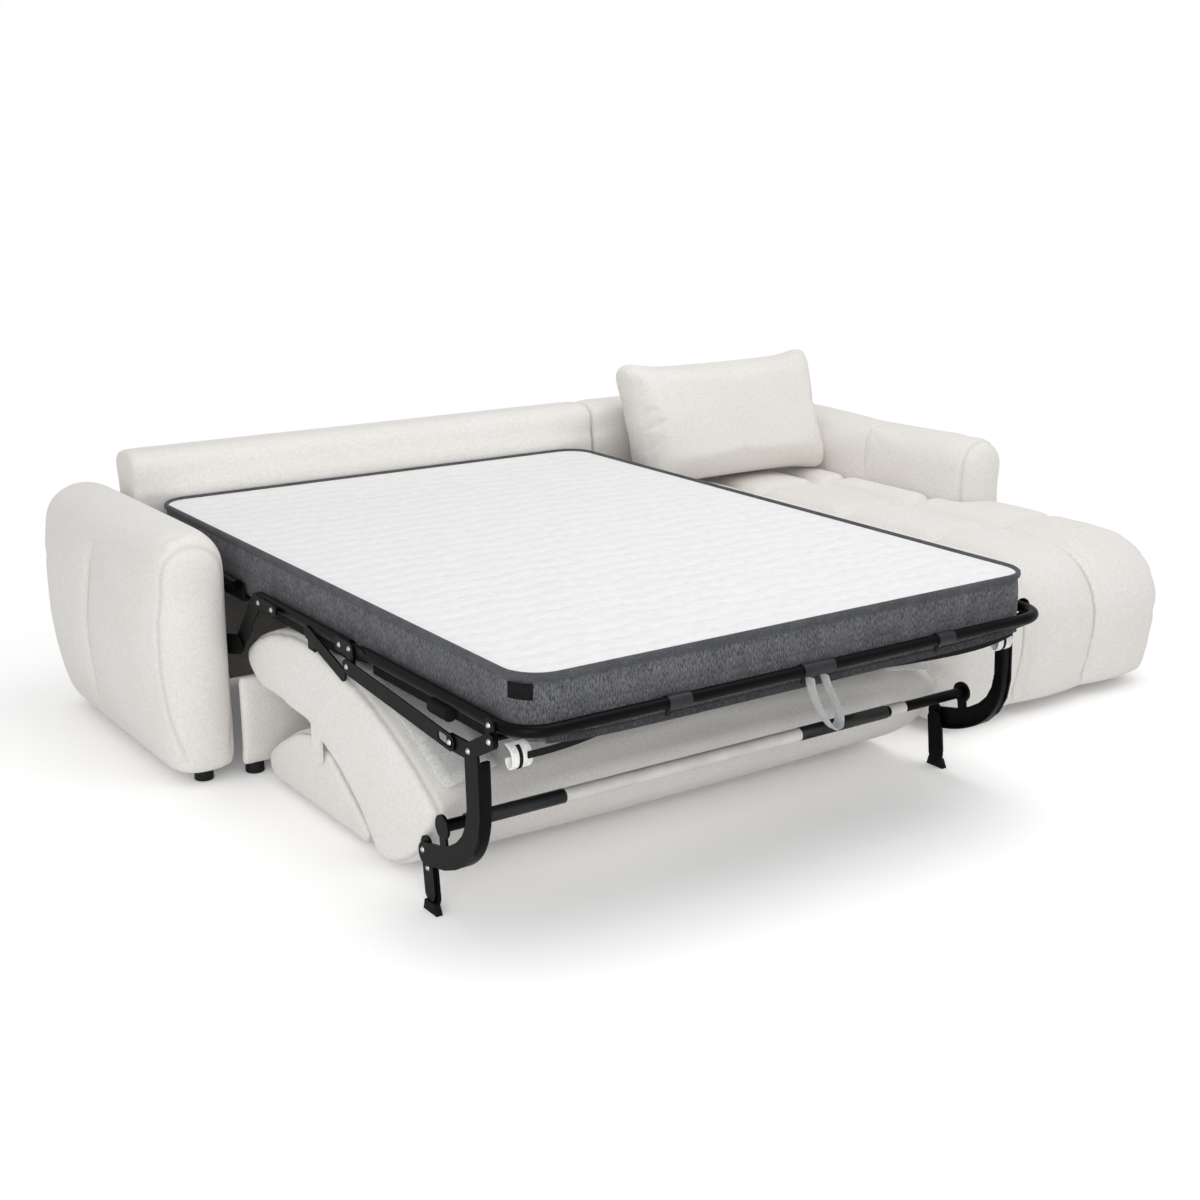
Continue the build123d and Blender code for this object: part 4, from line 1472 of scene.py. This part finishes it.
    def lower_edge(self, finishes: Finishes) -> None:
        """Adds what hangs below the front tube: the border's tucked edge, dressed in a darker copy of the
        border as painted shade, and two strips of black felt.

        Args:
            finishes: The shared materials.
        """
        for line, (_, name) in zip(self.felt_edges, SIDES):
            strip = [(x, self.felt_forward, z) for x, z in line]
            felt = self.strap(f"base_felt_{name}", strip, 15, 2.0, Way.UP)
            dress(felt, finishes.base, "foot_section")
        half = self.tuck_half
        forward, up = self.tuck_at
        sag = [(x, forward, up + self.tuck_rise * (x / half) ** 8) for x in range(-half, half + 1, 25)]
        # The tucked edge wears the darker copy of the border as painted shade.
        border_in_shade = self.strap("border_tuck", sag, 16, 3.0, Way.UP)
        dress(border_in_shade, finishes.border_in_shade, "foot_section")

    def pegs_under_clips(self, finishes: Finishes) -> None:
        """Hangs a small round-ended peg under the near end of each sleeve on the front tube.

        Args:
            finishes: The shared materials.
        """
        bm = bmesh.new()
        for x in self.pegs:
            place = at(x, self.front_tube, self.tube_z - self.peg_drop)
            add_rod(bm, 3.6, self.peg_length, Matrix.Translation(place), 4.6, 12)
            foot = place - Vector((0, 0, self.peg_length / 2000))
            bmesh.ops.create_uvsphere(bm, u_segments=12, v_segments=8, radius=0.0052,
                                      matrix=Matrix.Translation(foot))
        dress(from_bmesh("clip_hooks", bm), finishes.plastic, "foot_section")

    def stretcher_grips(self, finishes: Finishes) -> None:
        """Slips a dark sleeve over two bare lengths of the stretcher.

        Args:
            finishes: The shared materials.
        """
        turn = Matrix.Rotation(math.radians(90), 4, "Y")
        for (left, right), (_, name) in zip(self.grips, SIDES):
            bm = bmesh.new()
            place = Matrix.Translation(at((left + right) / 2, *self.stretcher))
            add_rod(bm, self.grip_radius, right - left, place @ turn, segments=32)
            dress(from_bmesh(f"stretcher_grip_{name}", bm), finishes.clip, "legs")

    def finish_solids(self, finishes: Finishes) -> None:
        """Gives each solid that still shows its real finish.

        Args:
            finishes: The shared materials.
        """
        for name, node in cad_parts.items():
            if node.hide_render:
                continue
            if name.startswith("tube_clip"):
                material = finishes.clip
            elif name.startswith("foot_") and name not in ("foot_frame", "foot_tray"):
                material = finishes.plastic
            elif name.startswith("leg_pad"):
                material = finishes.rubber
            elif "sleeve" in name:
                material = finishes.sleeve
            elif name.endswith("tray"):
                material = finishes.base
            else:
                material = finishes.steel
            node.data.materials.clear()
            node.data.materials.append(material)
            LOG.info("%s keeps its solid, finished in %s", name, material.name)

    def build(self, finishes: Finishes) -> None:
        """Builds the frame's added pieces and finishes its solids.

        Args:
            finishes: The shared materials.
        """
        self.rivets(finishes)
        self.bars(self.link, finishes.steel, "middle_section")
        # The cloth sleeve over each hanger of the back cushion keeps the steel from showing
        self.bars(self.sleeve, finishes.chenille, "middle_section")
        self.flanges(finishes)
        self.bumpers(finishes)
        self.straps(finishes)
        self.lower_edge(finishes)
        self.pegs_under_clips(finishes)
        self.stretcher_grips(finishes)
        # The wide plate that doubles each foot bar and stands on its pad
        self.bars(self.foot_plate, finishes.steel, "legs")
        self.finish_solids(finishes)


@dataclass
class Studio:
    """Plain pale floor, soft light and a camera at the photograph's view."""

    camera_at: tuple[float, float, float] = (-2281.0, 4424.0, 1581.0)
    yaw: float = 34.65
    pitch: float = 15.7
    lens: float = 50.7
    sensor: float = 36.0
    world_strength: float = 0.61
    key_power: float = 47.0
    key_size: float = 3.4
    key_at: tuple[float, float, float] = (0.5, -0.9, 3.9)
    fill_power: float = 41.0
    fill_size: float = 2.6
    fill_at: tuple[float, float, float] = (-3.0, -3.1, 1.4)
    aim: tuple[float, float, float] = (0.2, 0.0, 0.3)
    floor_size: float = 14.0
    floor_gain: float = 1.3
    floor_fade: tuple[float, float] = (1.6, 2.8)
    floor_glow: float = 0.1

    def camera(self) -> None:
        """Sets the camera up."""
        yaw, pitch = math.radians(self.yaw), math.radians(self.pitch)
        level = math.cos(pitch)
        ahead = Vector((math.sin(yaw) * level, math.cos(yaw) * level, -math.sin(pitch)))
        right = Vector((math.cos(yaw), -math.sin(yaw), 0))
        up = right.cross(ahead)
        data = bpy.data.cameras.new("camera")
        data.lens = self.lens
        data.sensor_width = self.sensor
        data.clip_end = 100.0
        camera = bpy.data.objects.new("camera", data)
        turn = Matrix((right, up, -ahead)).transposed()
        camera.matrix_world = Matrix.Translation(at(*self.camera_at)) @ turn.to_4x4()
        bpy.context.scene.collection.objects.link(camera)
        bpy.context.scene.camera = camera

    def floor(self) -> None:
        """Lays a white floor that fades into the white background away from the sofa."""
        bm = bmesh.new()
        bmesh.ops.create_grid(bm, x_segments=1, y_segments=1, size=self.floor_size)
        floor = from_bmesh("floor", bm)
        material, tree = new_tree("white_studio_floor")
        where = add_node(tree, "ShaderNodeTexCoord")
        reach = add_node(tree, "ShaderNodeVectorMath", {0: where.outputs["Object"]}, operation="LENGTH")
        fade = dict(zip(("From Min", "From Max"), self.floor_fade))
        far = add_node(tree, "ShaderNodeMapRange",
                       {"Value": reach.outputs["Value"], "To Min": self.floor_glow, **fade},
                       interpolation_type="SMOOTHSTEP")
        seen = add_node(tree, "ShaderNodeLightPath")
        camera_ray = seen.outputs["Is Camera Ray"]
        white = mixed(tree, camera_ray, linear("#FBFBFB"), (self.floor_gain,) * 3 + (1.0,))
        paper = add_node(tree, "ShaderNodeBsdfDiffuse", {"Color": white})
        glow = add_node(tree, "ShaderNodeEmission", {"Color": (1, 1, 1, 1), "Strength": 1.0})
        share = add_node(tree, "ShaderNodeMath", {0: far.outputs[0], 1: camera_ray}, operation="MULTIPLY")
        mix = add_node(tree, "ShaderNodeMixShader",
                       {0: share.outputs[0], 1: paper.outputs[0], 2: glow.outputs[0]})
        add_node(tree, "ShaderNodeOutputMaterial", {"Surface": mix.outputs[0]})
        floor.data.materials.append(material)

    def light(self) -> None:
        """Lights the sofa evenly, with a broad lamp above and a lower one at the near left."""
        world = bpy.data.worlds.new("studio")
        bpy.context.scene.world = world
        world.use_nodes = True
        tree = world.node_tree
        tree.nodes.clear()
        seen = add_node(tree, "ShaderNodeLightPath")
        soft = add_node(tree, "ShaderNodeBackground",
                        {"Color": (1, 1, 1, 1), "Strength": self.world_strength})
        white = add_node(tree, "ShaderNodeBackground", {"Color": (1, 1, 1, 1), "Strength": 1.0})
        mix = add_node(tree, "ShaderNodeMixShader",
                       {0: seen.outputs["Is Camera Ray"], 1: soft.outputs[0], 2: white.outputs[0]})
        add_node(tree, "ShaderNodeOutputWorld", {"Surface": mix.outputs[0]})
        self.lamp("broad_lamp", self.key_power, self.key_size, self.key_at)
        self.lamp("low_fill", self.fill_power, self.fill_size, self.fill_at)

    def lamp(self, name: str, power: float, size: float, place: tuple[float, float, float]) -> None:
        """Hangs one round soft lamp that looks at the sofa.

        Args:
            name: The lamp's name.
            power: Its power in watts.
            size: Its width in metres.
            place: Where it hangs.
        """
        data = bpy.data.lights.new(name, "AREA")
        data.shape = "DISK"
        data.size = size
        data.energy = power
        lamp = bpy.data.objects.new(name, data)
        lamp.location = place
        ahead = Vector(self.aim) - lamp.location
        lamp.rotation_euler = ahead.to_track_quat("-Z", "Y").to_euler()
        bpy.context.scene.collection.objects.link(lamp)

    def build(self) -> None:
        """Builds the studio and keeps plain colours."""
        self.camera()
        self.floor()
        self.light()
        bpy.context.scene.view_settings.view_transform = "Standard"


def main() -> None:
    """Builds the studio and every sub-assembly."""
    logging.basicConfig(level=logging.INFO, format="%(name)s: %(message)s")
    Studio().build()
    finishes = Finishes()
    SofaShell().build(finishes)
    FoldedSeat().build(finishes)
    Mattress().build(finishes)
    BedFrame().build(finishes)


if __name__ == "__main__":
    main()
